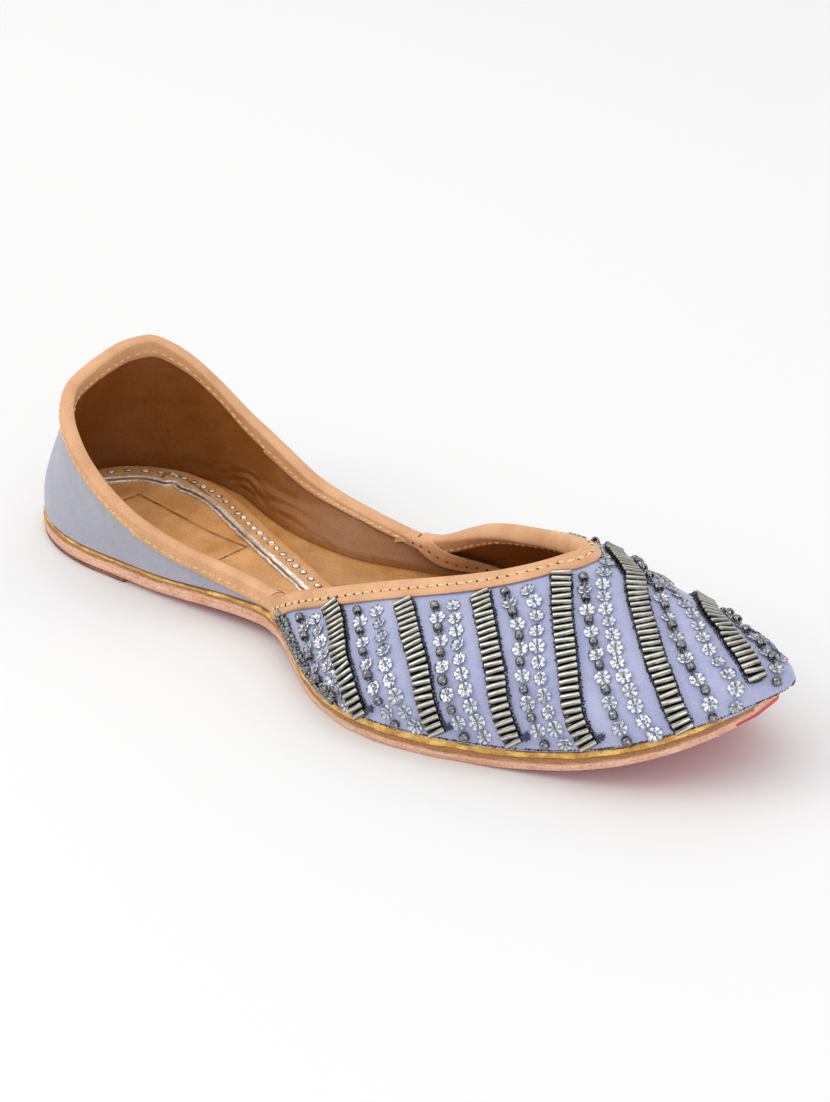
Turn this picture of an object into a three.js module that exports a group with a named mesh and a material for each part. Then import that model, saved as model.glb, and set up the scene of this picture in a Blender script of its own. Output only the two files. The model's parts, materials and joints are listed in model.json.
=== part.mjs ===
// Right-foot mojari: embroidered slip-on with a hollow cloth upper on a turned-up leather sole.
// Millimetres, +X to the toe, +Z up. Tables measure "at" forward from the back of the heel, and
// half widths outward from the line that joins the heel's centre to the toe.

import * as THREE from "three";
import { mergeVertices } from "three/addons/utils/BufferGeometryUtils.js";

// Driving dimensions
const LIFT = 1.3;
const LIFT_LENGTH = 48;
const SOLE = 4.2;
const RAND = 1.5;
const RAND_WIDTH = 2.8;
const RAND_SETBACK = 0.4;
const GAP = 0.3;
const WALL = 1.8;
const WALL_AT_NOSE = 1.1;
const VAMP_STEP = 1.0;
const FOOT_SETBACK = 0.6;
const PAD = 1.8;
const PAD_SETBACK = 3.7;
const SOCK = 1.0;
const SOCK_SETBACK = 6.2;
const BORDER = 0.8;
const BORDER_OUTER = 4.2;
const BORDER_INNER = 3.6;
const BINDING = 0.8;
const QUARTER_FACE = 4.5;
const VAMP_FACE = 5.2;
const INNER_FACE = 5.0;
const TAIL = 1.0;
const TAIL_LENGTH = 16;
const TAIL_FACE = 4.5;
const TAIL_DROP = 7;
const LIFT_SETBACK = 0.3;
const PAD_END = 9;
const SMALLEST_TAIL = 1;
const BORDER_LIP = 0.4;

// Outline of the sole: a half ellipse at the heel, then half widths on either side
const HEEL_ROUND = 38;
const HEEL_NEAR = 26.6;
const HEEL_FAR = 28.2;
const HEEL_ARC = 52;
const SOLE_END = 245.5;
const SOLE_EDGE = [
  { at: 38, near: HEEL_NEAR, far: HEEL_FAR },
  { at: 50, near: 26.9, far: 26.6 },
  { at: 60, near: 27.1, far: 22.8 },
  { at: 70, near: 27.2, far: 18.4 },
  { at: 80, near: 27.1, far: 14.8 },
  { at: 90, near: 26.9, far: 12.6 },
  { at: 98, near: 26.8, far: 12.2 },
  { at: 106, near: 28.6, far: 13.6 },
  { at: 113, near: 32.8, far: 16.6 },
  { at: 121, near: 38.4, far: 20.8 },
  { at: 130, near: 44.0, far: 25.8 },
  { at: 140, near: 48.4, far: 30.6 },
  { at: 150, near: 50.9, far: 34.0 },
  { at: 158, near: 51.2, far: 35.6 },
  { at: 172, near: 49.2, far: 36.0 },
  { at: 186, near: 45.0, far: 33.6 },
  { at: 202, near: 40.4, far: 29.4 },
  { at: 214, near: 36.8, far: 25.8 },
  { at: 224, near: 32.4, far: 22.2 },
  { at: 232, near: 27.0, far: 18.6 },
  { at: 238, near: 20.8, far: 15.0 },
  { at: 242, near: 14.4, far: 11.6 },
  { at: SOLE_END, near: 5.6, far: 6.4 },
];

// Foot of the upper over the toe, where it parts from the sole and closes as a round nose
const NOSE_END = 251.5;
const NOSE_FOOT = [
  { at: 232, near: 26.2, far: 17.9 },
  { at: 238, near: 20.6, far: 14.8 },
  { at: 242, near: 15.4, far: 12.2 },
  { at: 246, near: 10.0, far: 9.0 },
  { at: 249, near: 5.8, far: 5.6 },
  { at: 250.8, near: 2.6, far: 2.6 },
  { at: NOSE_END, near: 0, far: 0 },
];

// Side profile of the sole: flat heel, raised waist, flat ball, toe spring
const WAIST_AT = 97;
const WAIST_RISE = 3.4;
const WAIST_SPAN = 42;
const BALL_AT = 182;
const SPRING = 16;
const SPRING_RUN = 63;
const SPRING_POWER = 1.9;

// Topline of the quarter and of the vamp. "along" is the station; the heel's arc has the negative ones.
// The arch side stands higher, and the vamp starts further forward on it.
const THROAT = 149.5;
const NOTCH_NEAR = 68;
const NOTCH_FAR = 80;
const TOPLINE_NEAR = [
  { along: -52, at: 15.8, half: 0, height: 49.8 },
  { along: -39, at: 17.6, half: 10.4, height: 48.6 },
  { along: -26, at: 22.4, half: 19.2, height: 46.6 },
  { along: -13, at: 29.6, half: 25.8, height: 42.4 },
  { along: 0, at: 38.5, half: 29.8, height: 36.6 },
  { along: 8, at: 46, half: 30.9, height: 31.4 },
  { along: 16, at: 54, half: 31.0, height: 26.6 },
  { along: 26, at: 64, half: 30.0, height: 22.2 },
  { along: 36, at: 74, half: 28.4, height: 19.0 },
  { along: 46, at: 84, half: 26.8, height: 17.0 },
  { along: 56, at: 94, half: 26.2, height: 15.6 },
  { along: 63, at: 101, half: 26.8, height: 15.0 },
  { along: NOTCH_NEAR, at: 106, half: 28.0, height: 15.2 },
  { along: 76, at: 114, half: 29.8, height: 19.2 },
  { along: 86, at: 124, half: 29.6, height: 23.6 },
  { along: 95, at: 133, half: 27.8, height: 26.8 },
  { along: 105, at: 143, half: 25.0, height: 29.8 },
  { along: 115, at: 153, half: 21.8, height: 32.3 },
  { along: 125, at: 163, half: 17.8, height: 34.7 },
  { along: 134, at: 172, half: 13.2, height: 37.0 },
  { along: 141, at: 179, half: 8.8, height: 39.2 },
  { along: 145.5, at: 183.5, half: 5.2, height: 40.8 },
  { along: 148, at: 186, half: 2.5, height: 41.8 },
  { along: THROAT, at: 187.5, half: 0, height: 42.3 },
];
const TOPLINE_FAR = [
  { along: -52, at: 15.8, half: 0, height: 49.8 },
  { along: -39, at: 16.0, half: 10.8, height: 51.2 },
  { along: -26, at: 19.6, half: 19.8, height: 51.6 },
  { along: -13, at: 28.0, half: 25.6, height: 47.2 },
  { along: 0, at: 38.0, half: 28.4, height: 39.8 },
  { along: 8, at: 46, half: 29.4, height: 33.6 },
  { along: 16, at: 54, half: 29.4, height: 29.0 },
  { along: 24, at: 62, half: 28.4, height: 25.8 },
  { along: 33, at: 71, half: 26.0, height: 23.4 },
  { along: 42, at: 80, half: 23.6, height: 21.6 },
  { along: 51, at: 89, half: 21.8, height: 20.6 },
  { along: 59, at: 97, half: 20.8, height: 19.8 },
  { along: 66, at: 104, half: 20.6, height: 18.8 },
  { along: 73, at: 111, half: 21.2, height: 17.4 },
  { along: NOTCH_FAR, at: 118, half: 22.2, height: 16.0 },
  { along: 84.5, at: 122.5, half: 22.2, height: 16.8 },
  { along: 91, at: 129, half: 21.3, height: 19.8 },
  { along: 98, at: 136, half: 20.2, height: 23.8 },
  { along: 106, at: 144, half: 18.6, height: 28.0 },
  { along: 114, at: 152, half: 16.9, height: 31.0 },
  { along: 123, at: 161, half: 14.7, height: 33.7 },
  { along: 131, at: 169, half: 12.2, height: 36.2 },
  { along: 138, at: 176, half: 9.3, height: 38.4 },
  { along: 144, at: 182, half: 5.6, height: 40.5 },
  { along: 148, at: 186, half: 2.3, height: 41.8 },
  { along: THROAT, at: 187.5, half: 0, height: 42.3 },
];

// Crest of the vamp from the throat to the nose
const CREST = [
  { at: 187.5, height: 42.3 },
  { at: 196, height: 40.6 },
  { at: 206, height: 38.8 },
  { at: 216, height: 36.7 },
  { at: 226, height: 34.5 },
  { at: 236, height: 32.3 },
  { at: 243, height: 30.7 },
  { at: 248, height: 29.4 },
  { at: NOSE_END, height: 28.0 },
];

// How the wall bows: near and far are its outward lean at the foot, turn how far the top edge has
// turned from level (0, over the crest) to upright (90), and fill the fullness of the bow
const BOW = [
  { along: -52, near: -2, far: -2, turn: 66, fill: 0.36 },
  { along: -26, near: 2, far: 2, turn: 74, fill: 0.36 },
  { along: 0, near: 6, far: 8, turn: 88, fill: 0.36 },
  { along: 26, near: 6, far: 34, turn: 92, fill: 0.36 },
  { along: 46, near: 4, far: 48, turn: 88, fill: 0.36 },
  { along: 66, near: 10, far: 48, turn: 84, fill: 0.36 },
  { along: 80, near: 26, far: 44, turn: 70, fill: 0.4 },
  { along: 95, near: 24, far: 38, turn: 52, fill: 0.42 },
  { along: 115, near: 12, far: 22, turn: 34, fill: 0.44 },
  { along: 135, near: 8, far: 10, turn: 22, fill: 0.45 },
  { along: 150, near: 6, far: 6, turn: 14, fill: 0.46 },
  { along: 180, near: 8, far: 8, turn: 8, fill: 0.48 },
  { along: 213.5, near: 8, far: 8, turn: 4, fill: 0.5 },
];

// Punched border of the heel sock, y of its middle line from the heel to the waist
const SOCK_LINE = [
  { at: 9.3, y: 0 },
  { at: 10, y: 4.2 },
  { at: 12, y: 8.0 },
  { at: 16, y: 12.2 },
  { at: 23, y: 16.2 },
  { at: 32, y: 18.2 },
  { at: 42, y: 17.2 },
  { at: 52, y: 14 },
  { at: 62, y: 9.4 },
  { at: 72, y: 4.2 },
  { at: 82, y: -0.8 },
  { at: 92, y: -5.4 },
  { at: 102, y: -9.6 },
  { at: 112, y: -13.2 },
];

const NEAR = -1;
const FAR = 1;
const HEEL_HALF = { [NEAR]: HEEL_NEAR, [FAR]: HEEL_FAR };
const HEEL_STATIONS = [-52, -45.5, -39, -32.5, -26, -19.5, -13, -6.5];
const FRONT_STATIONS = [
  THROAT, 153, 158, 164, 171, 178, 185, 191, 196, 200, 204, 207, 209.5, 211.5, 212.8,
  NOSE_END - HEEL_ROUND,
];
const NOTCH = { [NEAR]: NOTCH_NEAR, [FAR]: NOTCH_FAR };
const NOTCH_EDGE = 0.4;
const ROWS = 12;

// Where the heel lift's step has run out, and where the wall starts to thin toward the nose
const LIFT_FADE = 110;
const THIN_FROM = 190;

// Small steps for slopes and normals, in mm of station and in rise
const SLOPE_STEP = 0.5;
const NORMAL_STEP = 0.6;
const RISE_STEP = 0.02;
const RIM_STEP = 0.3;
const WELD = 1e-3;

// A smooth curve through one column of a table, without overshoot
function column(rows, key, value) {
  const x = rows.map((row) => row[key]);
  const y = rows.map((row) => row[value]);
  const slope = [];
  for (let i = 0; i < x.length - 1; i += 1) slope.push((y[i + 1] - y[i]) / (x[i + 1] - x[i]));
  const tangent = y.map((_, i) => {
    if (i === 0) return slope[0];
    if (i === y.length - 1) return slope[i - 1];
    const before = slope[i - 1];
    const after = slope[i];
    return before * after <= 0 ? 0 : (2 * before * after) / (before + after);
  });
  return (at) => {
    const t = THREE.MathUtils.clamp(at, x[0], x[x.length - 1]);
    let i = 0;
    while (i < x.length - 2 && t > x[i + 1]) i += 1;
    const span = x[i + 1] - x[i];
    const u = (t - x[i]) / span;
    const start = y[i] * (1 + 2 * u) * (1 - u) ** 2 + tangent[i] * span * u * (1 - u) ** 2;
    const end = y[i + 1] * u * u * (3 - 2 * u) + tangent[i + 1] * span * u * u * (u - 1);
    return start + end;
  };
}

const edge = { [NEAR]: column(SOLE_EDGE, "at", "near"), [FAR]: column(SOLE_EDGE, "at", "far") };
const nose = { [NEAR]: column(NOSE_FOOT, "at", "near"), [FAR]: column(NOSE_FOOT, "at", "far") };
const topline = { [NEAR]: TOPLINE_NEAR, [FAR]: TOPLINE_FAR };
const toplineColumn = (key) => ({
  [NEAR]: column(topline[NEAR], "along", key),
  [FAR]: column(topline[FAR], "along", key),
});
const rimAt = toplineColumn("at");
const rimHalf = toplineColumn("half");
const rimHeight = toplineColumn("height");
const crest = column(CREST, "at", "height");
const flareAt = { [NEAR]: column(BOW, "along", "near"), [FAR]: column(BOW, "along", "far") };
const turnAt = column(BOW, "along", "turn");
const fillAt = column(BOW, "along", "fill");

// Height of the outsole's underside: flat under heel and ball
function underside(at) {
  const heel = LIFT * (1 - THREE.MathUtils.smoothstep(at, LIFT_LENGTH, LIFT_FADE));
  const waist = WAIST_RISE * Math.max(0, 1 - ((at - WAIST_AT) / WAIST_SPAN) ** 2) ** 2;
  const spring = SPRING * (Math.max(0, at - BALL_AT) / SPRING_RUN) ** SPRING_POWER;
  return heel + waist + spring;
}

const topOfSole = (at) => underside(at) + SOLE;
const seat = (at) => topOfSole(at) + GAP + RAND + GAP;

// Point of the sole's outline at a station, set in from the edge
function outline(side, along, setback = 0) {
  if (along < 0) {
    const angle = (Math.PI / 2) * (1 + along / HEEL_ARC);
    const at = HEEL_ROUND - (HEEL_ROUND - setback) * Math.cos(angle);
    return new THREE.Vector2(at, side * (HEEL_HALF[side] - setback) * Math.sin(angle));
  }
  const at = HEEL_ROUND + along;
  const slope = (edge[side](at + SLOPE_STEP) - edge[side](at - SLOPE_STEP)) / (2 * SLOPE_STEP);
  return new THREE.Vector2(at, side * (edge[side](at) - setback * Math.hypot(1, slope)));
}

// Lower edge of the upper
function foot(side, along) {
  const noseFrom = NOSE_FOOT[0].at - HEEL_ROUND;
  if (along < noseFrom) {
    const point = outline(side, along, FOOT_SETBACK);
    return new THREE.Vector3(point.x, point.y, seat(point.x));
  }
  const at = HEEL_ROUND + along;
  return new THREE.Vector3(at, side * nose[side](at), seat(at));
}

// Upper edge of the wall: the topline, or the crest in front of the throat
function rim(side, along) {
  if (along >= THROAT) {
    const at = HEEL_ROUND + along;
    return new THREE.Vector3(at, 0, crest(at));
  }
  const half = rimHalf[side](along);
  return new THREE.Vector3(rimAt[side](along), side * half, rimHeight[side](along));
}

// Outward direction in plan at a station
function outward(side, along) {
  if (along < 0) {
    const angle = (Math.PI / 2) * (1 + along / HEEL_ARC);
    return new THREE.Vector3(-Math.cos(angle), side * Math.sin(angle), 0);
  }
  const at = HEEL_ROUND + along;
  if (at >= NOSE_END) return new THREE.Vector3(1, 0, 0);
  const angle = (Math.PI / 2) * THREE.MathUtils.smoothstep(at, NOSE_FOOT[0].at, NOSE_END);
  return new THREE.Vector3(Math.sin(angle), side * Math.cos(angle), 0);
}

// Middle surface of the last, from foot (rise 0) to rim (rise 1)
function skin(side, along, rise) {
  const low = foot(side, along);
  const high = rim(side, along);
  const out = outward(side, along);
  const up = new THREE.Vector3(0, 0, 1);
  const height = high.z - low.z;
  const reach = Math.hypot(high.x - low.x, high.y - low.y);
  const flare = THREE.MathUtils.degToRad(flareAt[side](along));
  const turn = THREE.MathUtils.degToRad(turnAt(along));
  const fill = fillAt(along);
  const lowHandle = low.clone()
    .addScaledVector(up, fill * height * Math.cos(flare))
    .addScaledVector(out, fill * height * Math.sin(flare));
  const highHandle = high.clone()
    .addScaledVector(out, fill * reach * Math.cos(turn))
    .addScaledVector(up, -fill * height * Math.sin(turn));
  return new THREE.CubicBezierCurve3(low, lowHandle, highHandle, high).getPoint(rise);
}

// Outward normal of the last's surface; level at the foot, and in the middle plane on the crest
function normal(side, along, rise) {
  const last = NOSE_END - HEEL_ROUND;
  const step = NORMAL_STEP;
  if (along >= last) return new THREE.Vector3(1, 0, 0);
  if (rise >= 1 && along >= THROAT) {
    const at = HEEL_ROUND + along;
    return new THREE.Vector3(crest(at) - crest(at + step), 0, step).normalize();
  }
  const before = skin(side, Math.max(along - step, -HEEL_ARC), rise);
  const after = skin(side, Math.min(along + step, last), rise);
  const below = skin(side, along, Math.max(rise - RISE_STEP, 0));
  const above = skin(side, along, Math.min(rise + RISE_STEP, 1));
  const result = after.sub(before).cross(above.sub(below)).multiplyScalar(-side);
  if (along <= -HEEL_ARC) result.y = 0;
  if (rise <= 0) result.z = 0;
  return result.normalize();
}

// A point lifted off the surface, outward when positive
function lifted(side, along, rise, lift) {
  const point = skin(side, along, rise);
  const level = point.z;
  point.addScaledVector(normal(side, along, rise), lift);
  if (rise <= 0) point.z = level;
  return point;
}

const wallAt = (along) => {
  const thinning = THREE.MathUtils.smoothstep(along, THIN_FROM, NOSE_END - HEEL_ROUND);
  return THREE.MathUtils.lerp(WALL, WALL_AT_NOSE, thinning);
};
const stepAt = (side, along) => (along > NOTCH[side] ? VAMP_STEP : 0);

// Stations between two ends, a given way apart at most
function between(start, end, spacing) {
  const count = Math.ceil((end - start) / spacing);
  return Array.from({ length: count + 1 }, (_, i) => start + ((end - start) * i) / count);
}

// Stations of one side of the upper: heel, quarter, vamp up to the throat, toe
function stationsOf(side) {
  const notch = NOTCH[side];
  const quarter = between(0, notch - 12, 9).slice(0, -1);
  const waist = between(notch - 12, notch - NOTCH_EDGE, 4);
  const wing = between(notch + NOTCH_EDGE, notch + 14, 2.8).slice(0, -1);
  const vamp = between(notch + 14, 140, 5).slice(0, -1);
  const tip = between(140, THROAT, 2.2).slice(0, -1);
  return [...HEEL_STATIONS, ...quarter, ...waist, ...wing, ...vamp, ...tip, ...FRONT_STATIONS];
}

// Collects quads and triangles and gives a closed, indexed mesh
class Shell {
  constructor() {
    this.triangles = [];
  }

  triangle(a, b, c) {
    const area = b.clone().sub(a).cross(c.clone().sub(a)).length();
    if (area > 1e-7) this.triangles.push(a, b, c);
  }

  quad(a, b, c, d) {
    this.triangle(a, b, c);
    this.triangle(a, c, d);
  }

  // A patch between two rows of points; turned over when the flag is set
  strip(first, second, turned) {
    for (let i = 0; i < first.length - 1; i += 1) {
      if (turned) this.quad(first[i], second[i], second[i + 1], first[i + 1]);
      else this.quad(first[i], first[i + 1], second[i + 1], second[i]);
    }
  }

  geometry() {
    const positions = this.triangles.flatMap((point) => [point.x, point.y, point.z]);
    const loose = new THREE.BufferGeometry();
    loose.setAttribute("position", new THREE.Float32BufferAttribute(positions, 3));
    const merged = mergeVertices(loose, WELD);
    const index = merged.index.array;
    const kept = [];
    for (let i = 0; i < index.length; i += 3) {
      const [a, b, c] = [index[i], index[i + 1], index[i + 2]];
      if (a !== b && b !== c && c !== a) kept.push(a, b, c);
    }
    merged.setIndex(signedVolume(merged, kept) < 0 ? kept.reverse() : kept);
    merged.computeVertexNormals();
    return merged;
  }
}

// Six times the volume inside a closed mesh; negative where its faces point inward
function signedVolume(geometry, index) {
  const position = geometry.attributes.position;
  const corner = (i) => new THREE.Vector3().fromBufferAttribute(position, index[i]);
  let total = 0;
  for (let i = 0; i < index.length; i += 3) {
    total += corner(i).dot(corner(i + 1).cross(corner(i + 2)));
  }
  return total;
}

// Solid swept through sections of equal length, each a closed polygon; capped at open ends
function swept(sections, closed) {
  const shell = new Shell();
  const loop = closed ? [...sections, sections[0]] : sections;
  for (let i = 0; i < loop.length - 1; i += 1) {
    const first = [...loop[i], loop[i][0]];
    const second = [...loop[i + 1], loop[i + 1][0]];
    shell.strip(first, second, false);
  }
  if (!closed) {
    cap(shell, sections[0], true);
    cap(shell, sections[sections.length - 1], false);
  }
  return shell.geometry();
}

// Closes one end of a folded strip: its section runs out along one side and back along the other
function cap(shell, section, turned) {
  const count = section.length;
  for (let i = 0; i < count / 2 - 1; i += 1) {
    const a = section[i];
    const b = section[i + 1];
    const c = section[count - 2 - i];
    const d = section[count - 1 - i];
    if (turned) shell.quad(a, d, c, b);
    else shell.quad(a, b, c, d);
  }
}

function part(name, geometry, colour, roughness) {
  const material = new THREE.MeshStandardMaterial({ color: colour, roughness, metalness: 0 });
  const mesh = new THREE.Mesh(geometry, material);
  mesh.name = name;
  return mesh;
}

// Flat-lying layer between two heights that follow the sole's profile
function layer(stations, setback, low, high) {
  const shell = new Shell();
  const rows = stations.map((along) => {
    const near = outline(NEAR, along, setback);
    const far = outline(FAR, along, setback);
    const place = (point, height) => new THREE.Vector3(point.x, point.y, height(point.x));
    return [place(near, low), place(far, low), place(far, high), place(near, high)];
  });
  for (let i = 0; i < rows.length - 1; i += 1) {
    const [nearLow, farLow, farHigh, nearHigh] = rows[i];
    const [nextNearLow, nextFarLow, nextFarHigh, nextNearHigh] = rows[i + 1];
    shell.quad(nearHigh, nextNearHigh, nextFarHigh, farHigh);
    shell.quad(nearLow, farLow, nextFarLow, nextNearLow);
    shell.quad(nearLow, nextNearLow, nextNearHigh, nearHigh);
    shell.quad(farLow, farHigh, nextFarHigh, nextFarLow);
  }
  const [a, b, c, d] = rows[rows.length - 1];
  shell.quad(a, b, c, d);
  return shell.geometry();
}

// Stations of the sole, closer together where its edge turns
function soleStations(end) {
  const result = [];
  for (let along = -HEEL_ARC; along < 0; along += 4) result.push(along);
  for (let along = 0; along < 192; along += 6) result.push(along);
  for (let along = 192; along < SOLE_END - HEEL_ROUND; along += 3) result.push(along);
  return [...result.filter((along) => along < end - 0.5), end];
}

function heelLift() {
  const stations = soleStations(LIFT_LENGTH - HEEL_ROUND);
  return layer(stations, LIFT_SETBACK, () => 0, () => LIFT - GAP / 3);
}

function outsole() {
  return layer(soleStations(SOLE_END - HEEL_ROUND), 0, underside, topOfSole);
}

const floorTop = (at) => topOfSole(at) + GAP + PAD;

function insolePad() {
  const low = (at) => topOfSole(at) + GAP;
  return layer(soleStations(SOLE_END - HEEL_ROUND - PAD_END), PAD_SETBACK, low, floorTop);
}

// Middle line of the punched border, offset sideways: out toward the wall, or in
const sockLine = column(SOCK_LINE, "at", "y");
function sockPoint(at, offset) {
  const here = new THREE.Vector2(at, sockLine(at));
  const slope = (sockLine(at + SLOPE_STEP) - sockLine(at - SLOPE_STEP)) / (2 * SLOPE_STEP);
  const out = new THREE.Vector2(-slope, 1).normalize();
  return here.addScaledVector(out, offset);
}

// Heel sock: a tongue from the back of the heel to the waist
function heelSock() {
  const shell = new Shell();
  const low = (at) => floorTop(at) + GAP;
  const high = (at) => floorTop(at) + GAP + SOCK;
  const rows = between(SOCK_LINE[0].at, SOCK_LINE[SOCK_LINE.length - 1].at, 5).map((at) => {
    const far = sockLine(at) + BORDER_OUTER;
    const along = at - HEEL_ROUND;
    const near = along < 0 ? -heelHalf(NEAR, at, SOCK_SETBACK) : outline(NEAR, along, SOCK_SETBACK).y;
    const place = (y, height) => new THREE.Vector3(at, y, height(at));
    return [place(near, low), place(far, low), place(far, high), place(near, high)];
  });
  for (let i = 0; i < rows.length - 1; i += 1) {
    shell.strip([...rows[i], rows[i][0]], [...rows[i + 1], rows[i + 1][0]], false);
  }
  shell.quad(rows[0][0], rows[0][3], rows[0][2], rows[0][1]);
  const [a, b, c, d] = rows[rows.length - 1];
  shell.quad(a, b, c, d);
  return shell.geometry();
}

// Half width of the heel's ellipse at a place, set in from the edge
function heelHalf(side, at, setback) {
  const t = (HEEL_ROUND - at) / (HEEL_ROUND - setback);
  return (HEEL_HALF[side] - setback) * Math.sqrt(Math.max(0, 1 - t * t));
}

// Closed plan loop around the sole, as stations on either side
function planLoop(end) {
  const stations = soleStations(end);
  const near = stations.map((along) => outline(NEAR, along));
  const far = stations.slice(1).reverse().map((along) => outline(FAR, along));
  return [...near, ...far];
}

// Points set in from a closed plan loop along its own normals
function inset(loop, amount) {
  return loop.map((point, i) => {
    const before = loop[(i + loop.length - 1) % loop.length];
    const after = loop[(i + 1) % loop.length];
    const tangent = after.clone().sub(before).normalize();
    return new THREE.Vector2(point.x - tangent.y * amount, point.y + tangent.x * amount);
  });
}

function rand() {
  const loop = planLoop(SOLE_END - HEEL_ROUND);
  const outer = inset(loop, RAND_SETBACK);
  const inner = inset(loop, RAND_SETBACK + RAND_WIDTH);
  const low = (point) => new THREE.Vector3(point.x, point.y, topOfSole(point.x) + GAP);
  const high = (point) => new THREE.Vector3(point.x, point.y, topOfSole(point.x) + GAP + RAND);
  const sections = outer.map((point, i) => [low(point), high(point), high(inner[i]), low(inner[i])]);
  return swept(sections, true);
}

// Punched strip that edges the heel sock, from the back of the heel to the waist
function sockBorder() {
  const top = (at) => floorTop(at) + GAP + SOCK + GAP;
  const end = SOCK_LINE[SOCK_LINE.length - 1].at - 1;
  const sections = [...between(10, 30, 2.5).slice(0, -1), ...between(30, end, 6)].map((at) => {
    const outer = sockPoint(at, BORDER_OUTER - BORDER_LIP);
    const inner = sockPoint(at, -BORDER_INNER);
    const place = (point, raise) => new THREE.Vector3(point.x, point.y, top(point.x) + raise);
    return [place(outer, 0), place(outer, BORDER), place(inner, BORDER), place(inner, 0)];
  });
  return swept(sections, false);
}

// Tail of the quarter: its bound edge runs on inside the vamp and sinks to the insole
function quarterTail(side) {
  const start = NOTCH[side] - 0.2;
  const lift = -(WALL + GAP + BINDING + 1.5 * GAP);
  const sections = between(start, start + TAIL_LENGTH, 4).map((along) => {
    const floor = floorTop(HEEL_ROUND + along) + GAP;
    const sink = (TAIL_DROP * (along - start)) / TAIL_LENGTH;
    const top = Math.max(rimHeight[side](start) - sink, floor + SMALLEST_TAIL);
    const high = riseAt(side, along, top);
    const low = riseAt(side, along, Math.max(top - TAIL_FACE, floor + 0.2));
    const at = (rise, depth) => lifted(side, along, rise, depth);
    return [at(low, lift), at(high, lift), at(high, lift - TAIL), at(low, lift - TAIL)];
  });
  return swept(sections, false);
}

// Rise on the wall of one station at a given height
function riseAt(side, along, height) {
  let low = 0;
  let high = 1;
  for (let i = 0; i < 20; i += 1) {
    const middle = (low + high) / 2;
    if (skin(side, along, middle).z < height) low = middle;
    else high = middle;
  }
  return (low + high) / 2;
}

// Hollow upper: outer skin, lining side, topline edge and foot edge
function upper() {
  const shell = new Shell();
  for (const side of [NEAR, FAR]) {
    const turned = side === FAR;
    const stations = stationsOf(side);
    const outer = stations.map((along) => wallColumn(side, along, stepAt(side, along)));
    const inner = stations.map((along) => wallColumn(side, along, -wallAt(along)));
    for (let i = 0; i < stations.length - 1; i += 1) {
      shell.strip(outer[i], outer[i + 1], !turned);
      shell.strip(inner[i], inner[i + 1], turned);
      shell.strip([outer[i][0], inner[i][0]], [outer[i + 1][0], inner[i + 1][0]], turned);
      if (stations[i + 1] <= THROAT) {
        const here = [outer[i][ROWS], inner[i][ROWS]];
        const next = [outer[i + 1][ROWS], inner[i + 1][ROWS]];
        shell.strip(here, next, !turned);
      }
    }
  }
  return shell.geometry();
}

function wallColumn(side, along, lift) {
  const points = [];
  for (let row = 0; row <= ROWS; row += 1) points.push(lifted(side, along, row / ROWS, lift));
  return points;
}

// Rise on the wall of one station whose point lies nearest to a target, by halving
function nearestRise(side, along, target) {
  const samples = 20;
  let best = 1;
  let distance = Infinity;
  for (let row = 0; row <= samples; row += 1) {
    const d = skin(side, along, row / samples).distanceTo(target);
    if (d < distance) {
      distance = d;
      best = row / samples;
    }
  }
  for (let span = 1 / samples; span > 1e-4; span /= 2) {
    for (const rise of [best - span, best + span]) {
      const clamped = THREE.MathUtils.clamp(rise, 0, 1);
      const d = skin(side, along, clamped).distanceTo(target);
      if (d < distance) {
        distance = d;
        best = clamped;
      }
    }
  }
  return best;
}

// Place on the wall a given way below the topline, square to it
function below(side, along, width) {
  const here = rim(side, along);
  const back = rim(side, Math.max(along - RIM_STEP, -HEEL_ARC));
  const ahead = rim(side, Math.min(along + RIM_STEP, THROAT));
  const tangent = ahead.sub(back);
  if (along <= -HEEL_ARC || along >= THROAT) tangent.set(0, -side, 0);
  tangent.normalize();
  const face = normal(side, Math.min(along, THROAT - 0.01), 1);
  if (along >= THROAT) face.y = 0;
  const down = tangent.clone().cross(face).multiplyScalar(-side).normalize();
  if (down.z > 0) down.negate();
  const target = here.clone().addScaledVector(down, width);
  if (along < 20) return { along, rise: nearestRise(side, along, target) };
  const station = Math.max(target.x - HEEL_ROUND, 0);
  return { along: station, rise: nearestRise(side, station, target) };
}

// Folded strip over the topline: outer face, turn over the edge, inner face
function bindingSection(side, along, face, step) {
  const half = below(side, along, face / 2);
  const full = below(side, along, face);
  const headroom = rim(side, along).z - floorTop(rim(side, along).x) - SOCK - BORDER - 3 * GAP;
  const innerFace = Math.min(INNER_FACE, headroom);
  const innerHalf = below(side, along, innerFace / 2);
  const innerFull = below(side, along, innerFace);
  const out = step + GAP;
  const wall = wallAt(along);
  const on = (place, lift) => lifted(side, place.along, place.rise, lift);
  const edgePoint = { along, rise: 1 };
  const up = skin(side, along, 1).sub(on(half, 0)).normalize();
  const over = (lift, rise) => on(edgePoint, lift).addScaledVector(up, rise);
  return [
    on(full, out + BINDING),
    on(half, out + BINDING),
    over(out + BINDING, 0),
    over(out + BINDING / 2, GAP + BINDING),
    over(-wall - GAP - BINDING / 2, GAP + BINDING),
    over(-wall - GAP - BINDING, 0),
    on(innerHalf, -wall - GAP - BINDING),
    on(innerFull, -wall - GAP - BINDING),
    on(innerFull, -wall - GAP),
    on(innerHalf, -wall - GAP),
    over(-wall - GAP, 0),
    over(-wall - GAP, GAP),
    over(out, GAP),
    over(out, 0),
    on(half, out),
    on(full, out),
  ];
}

// Binding from the near notch around to the far notch, through the station that both sides share
function binding(nearStations, farStations, face, step) {
  const near = nearStations.map((along) => bindingSection(NEAR, along, face, step));
  const far = farStations.slice(0, -1).map((along) => bindingSection(FAR, along, face, step));
  return swept([...near, ...far.reverse()], false);
}

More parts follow.
